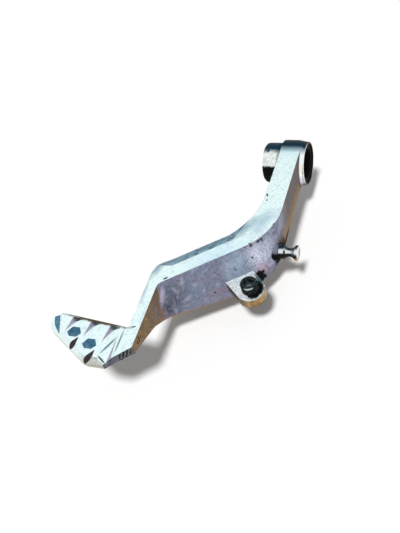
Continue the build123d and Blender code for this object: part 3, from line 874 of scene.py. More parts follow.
# Faced end of the collar: bright, red brown at its upper rear, and brown at its foot as a painted
# warm reflection
COLLAR_END = Finish(
    "faced_aluminium_collar", "#dfe9ee", metallic=1.0, roughness=0.3,
    layers=(
        Beyond((-8, 0, 0), (-0.9, 0, 0.43), Coat("#8f6240", metallic=0.6, roughness=0.5), soft=2.5,
               rag=0.5),
        # Painted warm reflection at the foot
        Beyond((0, 0, -9), (0.5, 0, -1), Coat("#6b4d33", metallic=0.6, roughness=0.5), soft=2.5,
               rag=0.5),
        Grain(size=0.5, depth=0.01),
    ),
)

# Outboard barrel: sandy white, with painted reflections, blue black above and black below a crisp
# line
BARREL = Finish(
    "turned_aluminium_barrel", "#eef6f5", metallic=1.0, roughness=0.30,
    layers=(
        Clouds(4, Coat("#d6d8cd", roughness=0.38), start=0.46, end=0.62, strength=0.7),
        Beyond((10.2, 0, 8.0), (0.54, 0, -0.84), Coat("#b5ad97"), soft=2.5, rag=0.9, strength=0.8),
        Clouds(0.8, Coat("#7f7a6b"), start=0.56, end=0.66, strength=0.6, depth=0.03),
        # Painted dark reflection over the top
        Beyond((4.2, 0, 11.8), (-1, 0, 0.3), PAINTED_DARK_REFLECTION, soft=3.4, rag=1.4),
        Stain((2.0, -10.0, 12.5), (2.0, 1.8, 2), PAINTED_DARK_REFLECTION, strength=0.9, rag=0.6, grain=1.2),
        # Painted black reflection below a crisp line
        Beyond((0, 0, 0), (0.545, 0, -0.838), SOOT_AND_PAINTED_SHADE, soft=0.7, rag=1.5),
        Beyond((-2.5, 0, 0), (-0.6, 0, -0.8), BARE, soft=4, rag=0.8),
        # Painted shade, with some dirt, where the barrel meets the eye
        Beyond((0, -5.0, 0), (0, 1, 0), NICK_AND_PAINTED_SHADE, soft=1.6, rag=0.5, strength=0.6),
        Grain(size=0.6, depth=0.02),
    ),
)

# Inside of holes and of the seal's recess: bare metal under old grease, painted near black as
# their shade
SHADED_HOLE = Finish(
    "greased_and_shaded_bore", "#0c0b0a", metallic=0.1, roughness=0.6,
    layers=(Clouds(3, Coat("#050505", metallic=0.0), start=0.45, end=0.6, strength=0.8),
            Grain(size=0.6, depth=0.02)),
    specular=0.15,
)

# The spring pin's seat, where chain oil has gathered: filmed grey between black edges of painted
# shade and oil
SEAT = Finish(
    "oiled_and_shaded_aluminium", "#767b8c", metallic=0.4, roughness=0.45,
    layers=(
        Clouds(1.2, Coat("#4d5664"), start=0.50, end=0.66, strength=0.7),
        # Painted shade, with oil: black along the lower and upper sides
        Beyond((69.4, 0, -4.3), (0.78, 0, -0.62), SOOT_AND_PAINTED_SHADE, soft=1.6, rag=0.6),
        Beyond((66.4, 0, -2.0), (-0.78, 0, 0.62), SOOT_AND_PAINTED_SHADE, soft=1.6, rag=0.6),
        Grain(size=0.6, depth=0.02),
    ),
    specular=0.2,
)

# Sintered bronze, oil-soaked, black with wear dust and painted shade inside the bore, warm brown
# where it still shows
BRONZE = Finish(
    "sintered_bronze_oiled", "#1d140d", metallic=0.9, roughness=0.45,
    layers=(
        Clouds(3, Coat("#060504", metallic=0.3, roughness=0.6), start=0.38, end=0.56,
               strength=0.95),
        Clouds(0.6, Coat("#4a3620"), start=0.64, end=0.74, strength=0.3, stretch=(1, 6, 1)),
        Grain(size=0.35, depth=0.01),
    ),
    specular=0.15,
)

# Nitrile rubber, moulded: dull black, greyed by dust
RUBBER = Finish(
    "nitrile_rubber", "#070707", metallic=0.0, roughness=0.6,
    layers=(Clouds(2.0, Coat("#0f0e0e", roughness=0.8), start=0.5, end=0.66, strength=0.7),
            Grain(size=0.4, depth=0.02)),
    specular=0.2,
)

# Bright turned steel: near white, with painted dark reflections along its top and beneath, black
# at its root as painted shade with oil, and a painted warm reflection on the head's lower edge
PIN_STEEL = Finish(
    "turned_steel_bright", "#dfe6e9", metallic=1.0, roughness=0.14,
    layers=(
        Clouds(0.25, Coat("#8d979b"), start=0.56, end=0.68, strength=0.4, stretch=(9, 1, 9)),
        # Painted dark reflections: blue black along the top, black beneath
        Facing((-0.8, 0, 0.6), Coat("#1d3540", metallic=0.5, roughness=0.4, specular=0.2),
               start=0.24, end=0.52),
        Facing((0.81, 0, -0.588), Coat("#0a0d0f", metallic=0.3, roughness=0.5, specular=0.2),
               start=0.14, end=0.38),
        # Painted warm reflection on the head's lower edge
        Stain((67.0, 21.4, -5.6), (3.4, 0.6, 3.4), Coat("#a07c52", roughness=0.35), strength=0.9,
              soft=0.4, rag=0.2, grain=1.0),
        # Painted shade, with oil: black at the root and on the collar
        Stain((69.0, 10.2, -5.5), (6.5, 2.0, 3.6), SOOT_AND_PAINTED_SHADE, soft=0.4, rag=0.5, grain=1.5),
        Stain((71.8, 13.8, -1.6), (2.6, 0.8, 2.6), SOOT_AND_PAINTED_SHADE, strength=0.9, soft=0.4, rag=0.6,
              grain=1.2),
        # Painted warm reflection on the head's lower edge
        Beyond((71, 20.9, -5.0), (0.5, 0.7, -0.5), Coat("#b98d4c", roughness=0.35), soft=1.2,
               rag=0.4, strength=0.9),
        Grain(size=0.3, depth=0.004),
    ),
)

# Black-oxide steel, oiled: blue black, black beneath as painted shade, with painted highlights on
# its rim and in the socket
SCREW_OXIDE = Finish(
    "black_oxide_steel", "#20292d", metallic=0.7, roughness=0.30,
    layers=(
        Clouds(1.5, Coat("#070909", roughness=0.5), start=0.44, end=0.58, strength=0.85),
        # Painted shade on the faces that look down
        Facing((0, 0, -1), SOOT_AND_PAINTED_SHADE, start=-0.5, end=-0.2),
        # Painted highlights: a crescent on the rim, glints over the head and in the socket
        Facing((0.75, 0.2, 0.62), Coat("#c9d8dc", metallic=1.0, roughness=0.2), start=0.88,
               end=0.97, strength=0.9),
        Clouds(0.6, Coat("#86949a", metallic=1.0), start=0.58, end=0.66, strength=0.8),
        Stain((98.0, 0.0, 0.6), (2.6, 2.6, 1.8), Coat("#86a3ab", metallic=1.0), strength=0.9,
              soft=0.4, rag=1.0, grain=0.9),
        Grain(size=0.4, depth=0.015),
    ),
    specular=0.2,
)


class Skin(Enum):
    """The faces of the lever casting that carry a finish of their own."""

    TOP = POLISHED
    BEVEL = BEVELLED
    WALL = CAST_WALL
    REAR = REAR_WALL
    FRONT = FRONT_WALL
    UNDER = UNDERSIDE
    TREAD_STEEP = TREAD_WALL
    TREAD_BACK = TREAD_SLATE
    RIM = SHADED_RIM_WALL
    TREAD_FRONT = SHADED_GROOVE_WALL
    END = END_FACET
    PAD_FRONT = PAD_EDGE
    LUG_TOP = LUG_FACE
    LUG_SIDE = LUG_RIM
    PIVOT = BOSS
    COLLAR = COLLAR_END
    OUTBOARD = BARREL
    INSIDE = SHADED_HOLE
    PIN_SEAT = SEAT


@contextmanager
def reshaped(mesh: bpy.types.Mesh) -> Iterator[bmesh.types.BMesh]:
    """Open a mesh for editing, and write its new shape back at the end.

    Args:
        mesh: The mesh, which may still be empty.

    Returns:
        The shape to edit.
    """
    shape = bmesh.new()
    shape.from_mesh(mesh)
    yield shape
    shape.to_mesh(mesh)
    shape.free()


def weld(shape: bmesh.types.BMesh) -> None:
    """Join the vertices that lie on one another, and drop the slivers between them."""
    bmesh.ops.remove_doubles(shape, verts=shape.verts, dist=WELD_MM * MM)
    bmesh.ops.dissolve_degenerate(shape, edges=shape.edges, dist=WELD_MM * MM)


def shade(mesh: bpy.types.Mesh, sharp_deg: float) -> None:
    """Shade a mesh smooth, but for the edges that are sharper than an angle."""
    mesh.shade_smooth()
    mesh.set_sharp_from_angle(angle=math.radians(sharp_deg))


def in_scene(data: bpy.types.ID) -> bpy.types.Object:
    """Put a mesh, a lamp or a camera into the scene, at the origin.

    Args:
        data: The mesh, lamp or camera.

    Returns:
        Its object, of the same name.
    """
    thing = bpy.data.objects.new(data.name, data)
    bpy.context.scene.collection.objects.link(thing)
    return thing


def evaluated_mesh(thing: bpy.types.Object) -> bpy.types.Mesh:
    """Take an object's mesh with its modifiers applied."""
    graph = bpy.context.evaluated_depsgraph_get()
    return bpy.data.meshes.new_from_object(thing.evaluated_get(graph))


def keep_result(piece: bpy.types.Object, modifier: bpy.types.Modifier) -> None:
    """Make a modifier's result the piece's own mesh, and take the modifier off.

    Args:
        piece: The object.
        modifier: Its only modifier.
    """
    before = piece.data
    name = before.name
    mesh = evaluated_mesh(piece)
    piece.modifiers.remove(modifier)
    piece.data = mesh
    bpy.data.meshes.remove(before)
    mesh.name = name


def refined_mesh(node: str, name: str) -> bpy.types.Mesh:
    """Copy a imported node's mesh, weld its loose triangles and join the flat ones.

    Args:
        node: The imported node.
        name: Name of the new mesh.

    Returns:
        A mesh of its own, with whole flat faces.
    """
    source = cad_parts[node].data
    mesh = bpy.data.meshes.new(name)
    mesh.from_pydata([v.co for v in source.vertices], [], [p.vertices for p in source.polygons])
    with reshaped(mesh) as shape:
        weld(shape)
        flat = math.radians(FLAT_DEG)
        bmesh.ops.dissolve_limit(shape, angle_limit=flat, verts=shape.verts, edges=shape.edges)
    return mesh


def finished(
    mesh: bpy.types.Mesh, sharp_deg: float, width_of: Callable[[bmesh.types.BMEdge], float],
) -> bpy.types.Object:
    """Round a mesh's sharp edges and shade it smooth between them.

    Args:
        mesh: The mesh, which is replaced by its rounded form.
        sharp_deg: Angle from which an edge counts as sharp.
        width_of: Width of the rounding in mm, for each sharp edge.

    Returns:
        An object at the origin, with no modifier left on it.
    """
    with reshaped(mesh) as shape:
        weight = shape.edges.layers.float.new("bevel_weight_edge")
        sharp = [
            line for line in shape.edges
            if len(line.link_faces) == 2 and line.calc_face_angle() > math.radians(sharp_deg)
        ]
        widths = [width_of(line) for line in sharp]
        widest = max(widths)
        for line, width in zip(sharp, widths):
            line[weight] = width / widest
        surface = BVHTree.FromBMesh(shape)
    piece = in_scene(mesh)
    bevel = piece.modifiers.new("rounding", "BEVEL")
    bevel.width = widest * MM
    bevel.segments = ROUNDING_SEGMENTS
    bevel.limit_method = "WEIGHT"
    bevel.use_clamp_overlap = False
    bevel.miter_outer = "MITER_ARC"
    keep_result(piece, bevel)
    with reshaped(piece.data) as shape:
        for vertex in shape.verts:
            place, _, _, distance = surface.find_nearest(vertex.co)
            if distance > STRAY_MM * MM:
                vertex.co = place
        weld(shape)
    shade(piece.data, sharp_deg)
    flats = piece.modifiers.new("flat_faces", "WEIGHTED_NORMAL")
    flats.weight = FLAT_FACE_WEIGHT
    flats.keep_sharp = True
    keep_result(piece, flats)
    return piece


def place_piece(piece: bpy.types.Object, node: str, slot: str) -> None:
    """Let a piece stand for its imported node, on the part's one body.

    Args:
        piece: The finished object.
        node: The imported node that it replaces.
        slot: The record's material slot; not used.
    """
    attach(piece, "root")
    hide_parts(node)
    log.info("%s: %d faces", piece.name, len(piece.data.polygons))


@dataclass(frozen=True)
class Lean:
    """Limits of how far a normal leans one way, by which the casting's faces are told apart."""

    level: float = 0.995
    flat: float = 0.99
    square: float = 0.97
    bevel_up: float = 0.85
    under_up: float = -0.3
    seat_wall: float = 0.7
    bore_out: float = -0.5
    collar_inboard: float = 0.5
    rim_forward: float = 0.9
    side_up: float = 0.3
    side_back: float = -0.3
    groove_inboard: float = 0.4
    groove_up: float = 0.8
    groove_forward: float = 0.3
    tip_inboard: float = 0.2
    root_inboard: float = -0.45
    root_forward: float = -0.2
    rolled_up: float = 0.98
    rolled_forward: float = 0.15
    lug_up: float = 0.05
    lug_inboard: float = -0.4


@dataclass
class LeverCasting:
    """The cast lever: boss, cranked arm, lug and treaded pad."""

    node: str = "lever_casting"
    name: str = "lever_body"
    edge: float = 0.35
    tread_edge: float = 0.1
    lower_edge: float = 0.8
    sharp_deg: float = 28.0
    kick_deg: float = 54.0
    facet_deg: float = 48.0
    eye_radius: float = 14.5
    eye_slack: float = 0.2
    bore_radius: float = 12.6
    barrel_end_y: float = -1.9
    collar_end_y: float = 13.0
    pad_root_y: float = -53.3
    pad_rear_x: float = 136.0
    rim_x: float = 146.0
    tip_y: float = -88.0
    hollows: tuple[tuple[float, float], ...] = ((156.5, -71.4), (150.5, -83.5))
    hollow_reach: float = 3.7
    root_groove_y: float = -63.0
    facet_x: float = 150.0
    kick_x: float = 80.0
    pin_seat: Point = (69.0, 10.2, -4.0)
    seat_radius: float = 5.4
    seat_depth: float = 8.0
    lug_hole: Point = (98.0, 0.0, -3.0)
    lug_reach: float = 21.0
    lug_thickness: float = 7.0
    hole_radius: float = 3.2
    near: float = 0.08
    lean: Lean = Lean()
    top_z: float = field(init=False)

    def __post_init__(self) -> None:
        """Take the height of the flat top from the frame."""
        self.top_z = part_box(self.node)[1].z / MM

    def build(self) -> bpy.types.Object:
        """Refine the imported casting, sort its faces by finish and round its edges.

        Returns:
            The dressed casting.
        """
        mesh = refined_mesh(self.node, self.name)
        self.dress(mesh)
        return finished(mesh, self.sharp_deg, self.width_of)

    def dress(self, mesh: bpy.types.Mesh) -> None:
        """Give each face the finish of the place where it lies.

        Args:
            mesh: The casting's mesh.
        """
        skins = list(Skin)
        for skin in skins:
            mesh.materials.append(skin.value.material())
        for face in mesh.polygons:
            face.material_index = skins.index(self.skin_of(face.center / MM, face.normal))

    def width_of(self, line: bmesh.types.BMEdge) -> float:
        """Width of an edge's rounding.

        Args:
            line: The edge.

        Returns:
            The width in mm: crisp in the tread, and well rounded where the underside begins.
        """
        place = line.verts[0].co / MM
        lowest = min(face.normal.z for face in line.link_faces)
        if lowest < self.lean.under_up and place.x > self.eye_radius:
            return self.lower_edge
        return self.tread_edge if self.on_pad(place) else self.edge

    def on_pad(self, place: Vector) -> bool:
        """Tell whether a place is on the foot pad."""
        return place.y < self.pad_root_y and place.x > self.pad_rear_x

    def skin_of(self, centre: Vector, normal: Vector) -> Skin:
        """Name the finish of a face.

        Args:
            centre: The face's middle in mm.
            normal: The way it looks.

        Returns:
            The face's skin.
        """
        lean = self.lean
        if normal.z > lean.level and abs(centre.z - self.top_z) < self.near:
            return Skin.TOP
        boss_skin = self.boss_skin(centre, normal)
        if boss_skin:
            return boss_skin
        if self.in_seat(centre, normal):
            return Skin.PIN_SEAT
        if centre.x > self.facet_x and self.inboard(normal, self.facet_deg) > lean.square:
            return Skin.END
        if self.on_pad(centre):
            return self.pad_skin(centre, normal)
        lug_skin = self.lug_skin(centre, normal)
        if lug_skin:
            return lug_skin
        if normal.z < lean.under_up:
            return Skin.UNDER
        if normal.z > lean.bevel_up:
            return Skin.BEVEL
        if normal.y > lean.square:
            return Skin.REAR if centre.x < self.kick_x else Skin.FRONT
        return Skin.WALL

    @staticmethod
    def inboard(normal: Vector, turn_deg: float) -> float:
        """How squarely a normal looks inboard, where inboard is turned forward by an angle."""
        turn = math.radians(turn_deg)
        return normal.dot(Vector((math.sin(turn), math.cos(turn), 0)))

    def in_seat(self, centre: Vector, normal: Vector) -> bool:
        """Tell whether a face is the floor or the wall of the spring pin's seat.

        Args:
            centre: The face's middle in mm.
            normal: The way it looks.

        Returns:
            Whether it is.
        """
        seat = Vector(self.pin_seat)
        out = Vector((centre.x - seat.x, 0, centre.z - seat.z))
        if out.length > self.seat_radius or centre.y < seat.y - self.seat_depth:
            return False
        on_wall = abs(out.normalized().dot(normal)) > self.lean.seat_wall
        return normal.y > self.lean.flat or on_wall

    def boss_skin(self, centre: Vector, normal: Vector) -> Skin | None:
        """Name the finish of a face of the pivot boss.

        Args:
            centre: The face's middle in mm.
            normal: The way it looks.

        Returns:
            The face's skin, or none if it isn't on the boss.
        """
        out = Vector((centre.x, 0, centre.z))
        if out.length > self.eye_radius + self.eye_slack:
            return None
        if out.length < self.bore_radius and out.normalized().dot(normal) < self.lean.bore_out:
            return Skin.INSIDE
        if centre.y > self.collar_end_y and normal.y > self.lean.collar_inboard:
            return Skin.COLLAR
        return Skin.OUTBOARD if centre.y < self.barrel_end_y else Skin.PIVOT

    def pad_skin(self, centre: Vector, normal: Vector) -> Skin:
        """Name the finish of a face of the foot pad.

        Args:
            centre: The face's middle in mm.
            normal: The way it looks.

        Returns:
            The face's skin.
        """
        lean = self.lean
        if normal.z < lean.under_up:
            return Skin.UNDER
        if normal.x > lean.rim_forward and centre.x < self.rim_x:
            return Skin.RIM
        if normal.z < lean.side_up:
            return Skin.WALL if normal.x < lean.side_back else Skin.PAD_FRONT
        if any(math.dist(place, centre.xy) < self.hollow_reach for place in self.hollows):
            return Skin.TREAD_BACK
        if normal.y > lean.groove_inboard and normal.z < lean.groove_up:
            return Skin.TREAD_FRONT if normal.x > lean.groove_forward else Skin.TREAD_STEEP
        if centre.y < self.tip_y and normal.y > lean.tip_inboard and normal.x < 0:
            return Skin.TREAD_BACK
        at_root = centre.y > self.root_groove_y
        if at_root and normal.y < lean.root_inboard and normal.x > lean.root_forward:
            return Skin.TREAD_STEEP
        if normal.z < lean.rolled_up and normal.x > lean.rolled_forward:
            return Skin.PAD_FRONT
        return Skin.TOP

    def lug_skin(self, centre: Vector, normal: Vector) -> Skin | None:
        """Name the finish of a face of the lug.

        Args:
            centre: The face's middle in mm.
            normal: The way it looks.

        Returns:
            The face's skin, or none if it isn't on the lug.
        """
        lean = self.lean
        hole = Vector(self.lug_hole)
        reach = math.dist(centre.xy, hole.xy)
        if abs(centre.z - hole.z) < self.near and normal.z > lean.flat:
            return Skin.LUG_TOP
        if reach < self.hole_radius:
            return Skin.INSIDE
        level = hole.z - self.lug_thickness - self.near < centre.z < hole.z
        outer = self.inboard(normal, self.kick_deg) > lean.lug_inboard
        if level and outer and reach < self.lug_reach and abs(normal.z) < lean.lug_up:
            return Skin.LUG_SIDE
        return None


@dataclass
class SpringPin:
    """The turned pin that holds the return spring, with a waisted neck."""

    node: str = "return_spring_pin"
    name: str = "spring_pin"
    shank_radius: float = 2.5
    shank_length: float = 9.0
    collar_radius: float = 4.0
    collar_length: float = 3.2
    waist_radius: float = 2.45
    waist_length: float = 6.4
    waist_power: float = 0.8
    rim_edge: float = 0.4
    waist_steps: int = 14
    steps: int = 72
    sharp_deg: float = 30.0

    def build(self) -> bpy.types.Object:
        """Turn the pin about its own axis.

        Returns:
            The dressed pin.
        """
        low, high = (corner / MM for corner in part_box(self.node))
        axis = Vector(((low.x + high.x) / 2, low.y, (low.z + high.z) / 2))
        outline = [
            ((axis.x + radius) * MM, (axis.y + along) * MM, axis.z * MM)
            for radius, along in self.outline(high.y - low.y, (high.x - low.x) / 2)
        ]
        mesh = bpy.data.meshes.new(self.name)
        with reshaped(mesh) as shape:
            points = [shape.verts.new(place) for place in outline]
            edges = [shape.edges.new(pair) for pair in zip(points, points[1:])]
            bmesh.ops.spin(
                shape, geom=points + edges, cent=axis * MM, axis=(0, 1, 0),
                angle=2 * math.pi, steps=self.steps,
            )
            bmesh.ops.remove_doubles(shape, verts=shape.verts, dist=WELD_MM * MM)
            bmesh.ops.recalc_face_normals(shape, faces=shape.faces)
        self.dress(mesh)
        return in_scene(mesh)

    def dress(self, mesh: bpy.types.Mesh) -> None:
        """Give the pin its steel, smooth but for its rims."""
        mesh.materials.append(PIN_STEEL.material())
        shade(mesh, self.sharp_deg)

    def outline(self, length: float, head_radius: float) -> list[tuple[float, float]]:
        """Half outline of the pin.

        Args:
            length: Length of the whole pin in mm.
            head_radius: Radius of its head in mm.

        Returns:
            Radius and distance along the pin of each point, from its inner end.
        """
        collar = self.shank_length + self.collar_length
        waist_end = collar + self.waist_length
        points = [
            (0, 0),
            (self.shank_radius - self.rim_edge, 0),
            (self.shank_radius, self.rim_edge),
            (self.shank_radius, self.shank_length),
            (self.collar_radius - self.rim_edge / 2, self.shank_length),
            (self.collar_radius, self.shank_length + self.rim_edge / 2),
        ]
        for i in range(self.waist_steps + 1):
            share = i / self.waist_steps
            rim = self.collar_radius + (head_radius - self.collar_radius) * share
            dip = math.sin(math.pi * share) ** self.waist_power
            radius = rim + (self.waist_radius - rim) * dip
            points.append((radius, collar + self.waist_length * share))
        points += [
            (head_radius, waist_end + self.rim_edge),
            (head_radius, length - self.rim_edge),
            (head_radius - self.rim_edge, length),
            (0, length),
        ]
        return points


@dataclass
class LugScrew:
    """The cap screw in the lug, with a cut thread on its shank."""

    node: str = "lug_screw"
    name: str = "lug_screw_body"
    edge: float = 0.15
    sharp_deg: float = 30.0
    shank_radius: float = 3.0
    core_radius: float = 2.55
    head_height: float = 6.0
    slack: float = 0.01
    pitch: float = 1.0
    tip_clear: float = 1.1
    unthreaded: float = 2.0
    ridge_share: float = 0.75
    ridge_corners: int = 3
    points_per_turn: int = 28

    def build(self) -> bpy.types.Object:
        """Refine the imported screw, turn its shank down to the core and wind the thread on it.

        Returns:
            The dressed screw.
        """
        low, high = (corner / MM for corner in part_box(self.node))
        middle = (low + high) / 2
        seat_z = high.z - self.head_height
        cut = MM * (1 - self.core_radius / self.shank_radius)
        mesh = refined_mesh(self.node, self.name)
        for vertex in mesh.vertices:
            out = Vector((vertex.co.x / MM - middle.x, vertex.co.y / MM - middle.y, 0))
            under_head = vertex.co.z / MM < seat_z + self.slack
            if under_head and out.length < self.shank_radius + self.slack:
                vertex.co -= out * cut
        self.dress(mesh)
        piece = finished(mesh, self.sharp_deg, lambda line: self.edge)
        foot = Vector((middle.x, middle.y, low.z + self.tip_clear))
        steel = piece.data.materials[0]
        thread = self.thread(foot, seat_z - low.z - self.unthreaded, steel)
        with reshaped(piece.data) as shape:
            shape.from_mesh(thread)
        bpy.data.meshes.remove(thread)
        return piece

    def dress(self, mesh: bpy.types.Mesh) -> None:
        """Give the screw its steel."""
        mesh.materials.append(SCREW_OXIDE.material())

    def thread(self, foot: Vector, length: float, steel: bpy.types.Material) -> bpy.types.Mesh:
        """Wind the thread's ridge as a Geometry Nodes spiral.

        Args:
            foot: Lower end of the thread's axis in mm.
            length: Length of the thread in mm.
            steel: The screw's material.

        Returns:
            The ridge as a plain mesh, in its place.
        """
        tree = bpy.data.node_groups.new("screw_thread", "GeometryNodeTree")
        given = self.thread_inputs(tree)
        sockets = {0: given["Length"], 1: given["Pitch"]}
        turns = add_node(tree, "ShaderNodeMath", sockets, operation="DIVIDE").outputs[0]
        spiral = add_node(tree, "GeometryNodeCurveSpiral", {
            "Resolution": self.points_per_turn,
            "Rotations": turns,
            "Start Radius": given["Core Radius"],
            "End Radius": given["Core Radius"],
            "Height": given["Length"],
        })
        sockets = {"Resolution": self.ridge_corners, "Radius": given["Ridge"]}
        ridge = add_node(tree, "GeometryNodeCurvePrimitiveCircle", sockets)
        wound = add_node(tree, "GeometryNodeCurveToMesh", {
            "Curve": spiral.outputs[0], "Profile Curve": ridge.outputs[0], "Fill Caps": True,
        })
        sockets = {"Geometry": wound.outputs[0], "Translation": given["Foot"]}
        placed = add_node(tree, "GeometryNodeTransform", sockets)
        real = add_node(tree, "GeometryNodeRealizeInstances", {"Geometry": placed.outputs[0]})
        sockets = {"Geometry": real.outputs[0], "Material": given["Material"]}
        dressed = add_node(tree, "GeometryNodeSetMaterial", sockets)
        add_node(tree, "NodeGroupOutput", {"Geometry": dressed.outputs[0]})
        carrier = in_scene(bpy.data.meshes.new("thread_carrier"))
        winding = carrier.modifiers.new("thread", "NODES")
        winding.node_group = tree
        values = {
            "Core Radius": self.core_radius * MM,
            "Ridge": (self.shank_radius - self.core_radius) / self.ridge_share * MM,
            "Pitch": self.pitch * MM,
            "Length": length * MM,
            "Foot": foot * MM,
            "Material": steel,
        }
        for item in tree.interface.items_tree:
            if item.in_out == "INPUT":
                winding[item.identifier] = values[item.name]
        mesh = evaluated_mesh(carrier)
        bpy.data.objects.remove(carrier)
        return mesh

    @staticmethod
    def thread_inputs(tree: bpy.types.NodeTree) -> bpy.types.NodeOutputs:
        """Give the thread's tree its named inputs and its one output.

        Args:
            tree: The empty tree.

        Returns:
            The sockets of its input node, by name.
        """
        kinds = dict.fromkeys(("Core Radius", "Ridge", "Pitch", "Length"), "Float")
        kinds |= {"Foot": "Vector", "Material": "Material"}
        for name, kind in kinds.items():
            tree.interface.new_socket(name, in_out="INPUT", socket_type=f"NodeSocket{kind}")
        tree.interface.new_socket("Geometry", in_out="OUTPUT", socket_type="NodeSocketGeometry")
        return add_node(tree, "NodeGroupInput").outputs


@dataclass
class PivotRing:
    """A ring pressed into the pivot bore: a bush or the dust seal."""

    node: str
    name: str
    finish: Finish
    edge: float = 0.12
    sharp_deg: float = 30.0

    def build(self) -> bpy.types.Object:
        """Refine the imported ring, dress it and round its edges.

        Returns:
            The dressed ring.
        """
        mesh = refined_mesh(self.node, self.name)
        self.dress(mesh)
        return finished(mesh, self.sharp_deg, lambda line: self.edge)

    def dress(self, mesh: bpy.types.Mesh) -> None:
        """Give the ring its bronze or its rubber."""
        mesh.materials.append(self.finish.material())


@dataclass
class PhotoCamera:
    """The camera, where the photograph was taken from.

    Angles are in degrees, lengths in mm, and the lens is in pixels of the photograph.
    """

    azimuth: float = 33.745
    elevation: float = 48.334
    roll: float = 21.46
    aside: float = 55.712
    below: float = -65.794
    distance: float = 444.818
    focal_px: float = 700.0
    image_height_px: float = 533.0
    sensor: float = 36.0
    nearest_m: float = 0.01

    def build(self) -> None:
        """Place the camera and make it the scene's own."""
        angles = (self.azimuth, self.elevation, self.roll)
        azimuth, elevation, roll = (math.radians(angle) for angle in angles)
        level = math.cos(elevation)
        back = Vector((level * math.cos(azimuth), level * math.sin(azimuth), math.sin(elevation)))
        right = Vector((0, 0, 1)).cross(back).normalized()
        down = right.cross(back)
        image_right = math.cos(roll) * right + math.sin(roll) * down
        image_down = -math.sin(roll) * right + math.cos(roll) * down
        place = back * self.distance - image_right * self.aside - image_down * self.below
        data = bpy.data.cameras.new("photo_camera")
        data.sensor_width = self.sensor
        data.lens = self.focal_px / self.image_height_px * self.sensor
        data.clip_start = self.nearest_m
        camera = in_scene(data)
        turned = Matrix((image_right, -image_down, back)).transposed().to_4x4()
        camera.matrix_world = Matrix.Translation(place * MM) @ turned
        bpy.context.scene.camera = camera


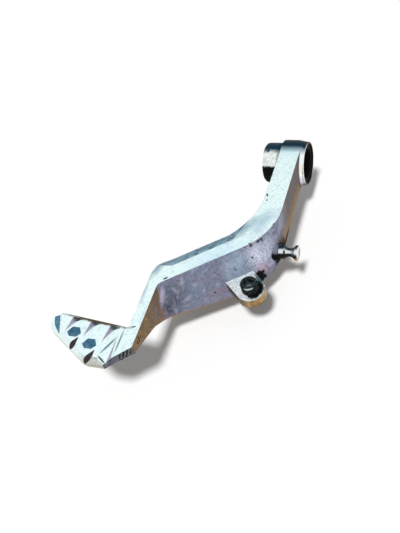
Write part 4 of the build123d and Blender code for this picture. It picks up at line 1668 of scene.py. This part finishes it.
@dataclass
class Studio:
    """A white floor, a soft key light, a pale sky, and a dark card for the metal's slate tones."""

    floor_colour: str = "#f7f7f7"
    floor_half_m: float = 4.0
    floor_gap_m: float = 0.015
    key_strength: float = 2.72
    key_from: Point = (0.365, 0.05, 0.93)
    key_spread_deg: float = 10.0
    sky_colour: str = "#ffffff"
    sky_strength: float = 0.30
    card_low_colour: str = "#b4bec4"
    card_colour: str = "#16394b"
    card_distance_m: float = 0.9
    card_start_deg: float = 160.0
    card_end_deg: float = 228.0
    card_low_deg: float = 13.0
    card_dark_deg: float = 18.0
    card_top_deg: float = 34.0
    card_steps: int = 24

    def build(self, part_foot_m: float) -> None:
        """Set the floor, the key light, the sky and the card.

        Args:
            part_foot_m: Height of the part's lowest point.
        """
        bpy.context.scene.view_settings.view_transform = "Standard"
        self.floor(part_foot_m - self.floor_gap_m)
        self.key()
        self.sky()
        self.card(part_foot_m - self.floor_gap_m)

    def floor(self, floor_z_m: float) -> None:
        """Lay the floor.

        Args:
            floor_z_m: Its height.
        """
        corners = ((-1, -1), (1, -1), (1, 1), (-1, 1))
        half = self.floor_half_m
        mesh = bpy.data.meshes.new("floor")
        mesh.from_pydata([(x * half, y * half, floor_z_m) for x, y in corners], [], [(0, 1, 2, 3)])
        # Matt white paper: even, with no gleam
        paper = Finish("white_paper", self.floor_colour, metallic=0.0, roughness=1.0, specular=0.0)
        mesh.materials.append(paper.material())
        in_scene(mesh)

    def key(self) -> None:
        """Hang the key light, which the metal doesn't mirror."""
        data = bpy.data.lights.new("key", "SUN")
        data.energy = self.key_strength
        data.angle = math.radians(self.key_spread_deg)
        lamp = in_scene(data)
        lamp.rotation_euler = Vector(self.key_from).to_track_quat("Z", "Y").to_euler()
        lamp.visible_glossy = False

    def sky(self) -> None:
        """Light the room evenly, and let the camera and the metal see it white."""
        world = bpy.data.worlds.new("sky")
        world.use_nodes = True
        tree = world.node_tree
        seen = add_node(tree, "ShaderNodeLightPath").outputs
        white = seen["Is Camera Ray"]
        for ray in ("Is Glossy Ray", "Is Transmission Ray"):
            sockets = {0: white, 1: seen[ray]}
            white = add_node(tree, "ShaderNodeMath", sockets, operation="MAXIMUM").outputs[0]
        sockets = {"Value": white, "To Min": self.sky_strength, "To Max": 1.0}
        strength = add_node(tree, "ShaderNodeMapRange", sockets).outputs[0]
        background = tree.nodes["Background"]
        background.inputs["Color"].default_value = linear(self.sky_colour)
        tree.links.new(strength, background.inputs["Strength"])
        bpy.context.scene.world = world

    def card_height(self, angle_deg: float) -> float:
        """Height on the card that the part sees under an angle, in metres."""
        return self.card_distance_m * math.tan(math.radians(angle_deg))

    def card(self, floor_z_m: float) -> None:
        """Stand the dark card behind the part, where only the metal sees it.

        Args:
            floor_z_m: Height of the floor.
        """
        middle = (Vector(cad_bounds[0]) + Vector(cad_bounds[1])) / 2
        top = self.card_height(self.card_top_deg)
        spread = self.card_end_deg - self.card_start_deg
        corners: list[Point] = []
        for i in range(self.card_steps + 1):
            turn = math.radians(self.card_start_deg + spread * i / self.card_steps)
            x = middle.x + self.card_distance_m * math.cos(turn)
            y = middle.y + self.card_distance_m * math.sin(turn)
            corners += [(x, y, floor_z_m), (x, y, top)]
        strips = [(i, i + 2, i + 3, i + 1) for i in range(0, 2 * self.card_steps, 2)]
        mesh = bpy.data.meshes.new("dark_card")
        mesh.from_pydata(corners, [], strips)
        mesh.materials.append(self.card_paper())
        card = in_scene(mesh)
        card.visible_camera = False
        card.visible_diffuse = False
        card.visible_shadow = False

    def card_paper(self) -> bpy.types.Material:
        """Paint the card, pale at its foot and dark above.

        Returns:
            A material that glows by itself.
        """
        paper = bpy.data.materials.new("dark_card_paper")
        paper.use_nodes = True
        tree = paper.node_tree
        tree.nodes.clear()
        place = add_node(tree, "ShaderNodeTexCoord").outputs["Object"]
        height = add_node(tree, "ShaderNodeSeparateXYZ", {0: place}).outputs["Z"]
        low, dark = (self.card_height(a) for a in (self.card_low_deg, self.card_dark_deg))
        sockets = {"Value": height, "From Min": low, "From Max": dark}
        rise = add_node(tree, "ShaderNodeMapRange", sockets).outputs[0]
        first, second, result = Blend.RGBA.value
        sockets = {0: rise, first: linear(self.card_low_colour), second: linear(self.card_colour)}
        tone = add_node(tree, "ShaderNodeMix", sockets, data_type=Blend.RGBA.name).outputs[result]
        glow = add_node(tree, "ShaderNodeEmission", {"Color": tone, "Strength": 1.0})
        add_node(tree, "ShaderNodeOutputMaterial", {"Surface": glow.outputs[0]})
        return paper


def main() -> None:
    """Build and dress each piece, then set the stage."""
    logging.basicConfig(level=logging.INFO, format="%(name)s: %(message)s")
    place_piece(LeverCasting().build(), "lever_casting", "cast_aluminium")
    place_piece(SpringPin().build(), "return_spring_pin", "pin_steel")
    place_piece(LugScrew().build(), "lug_screw", "screw_steel")
    rings = (
        (PivotRing("outboard_bush", "outboard_bush_ring", BRONZE), "bush_bronze"),
        (PivotRing("inboard_bush", "inboard_bush_ring", BRONZE), "bush_bronze"),
        (PivotRing("dust_seal", "dust_seal_ring", RUBBER), "seal_rubber"),
    )
    for ring, slot in rings:
        place_piece(ring.build(), ring.node, slot)
    Studio().build(cad_bounds[0][2])
    PhotoCamera().build()


if __name__ == "__main__":
    main()
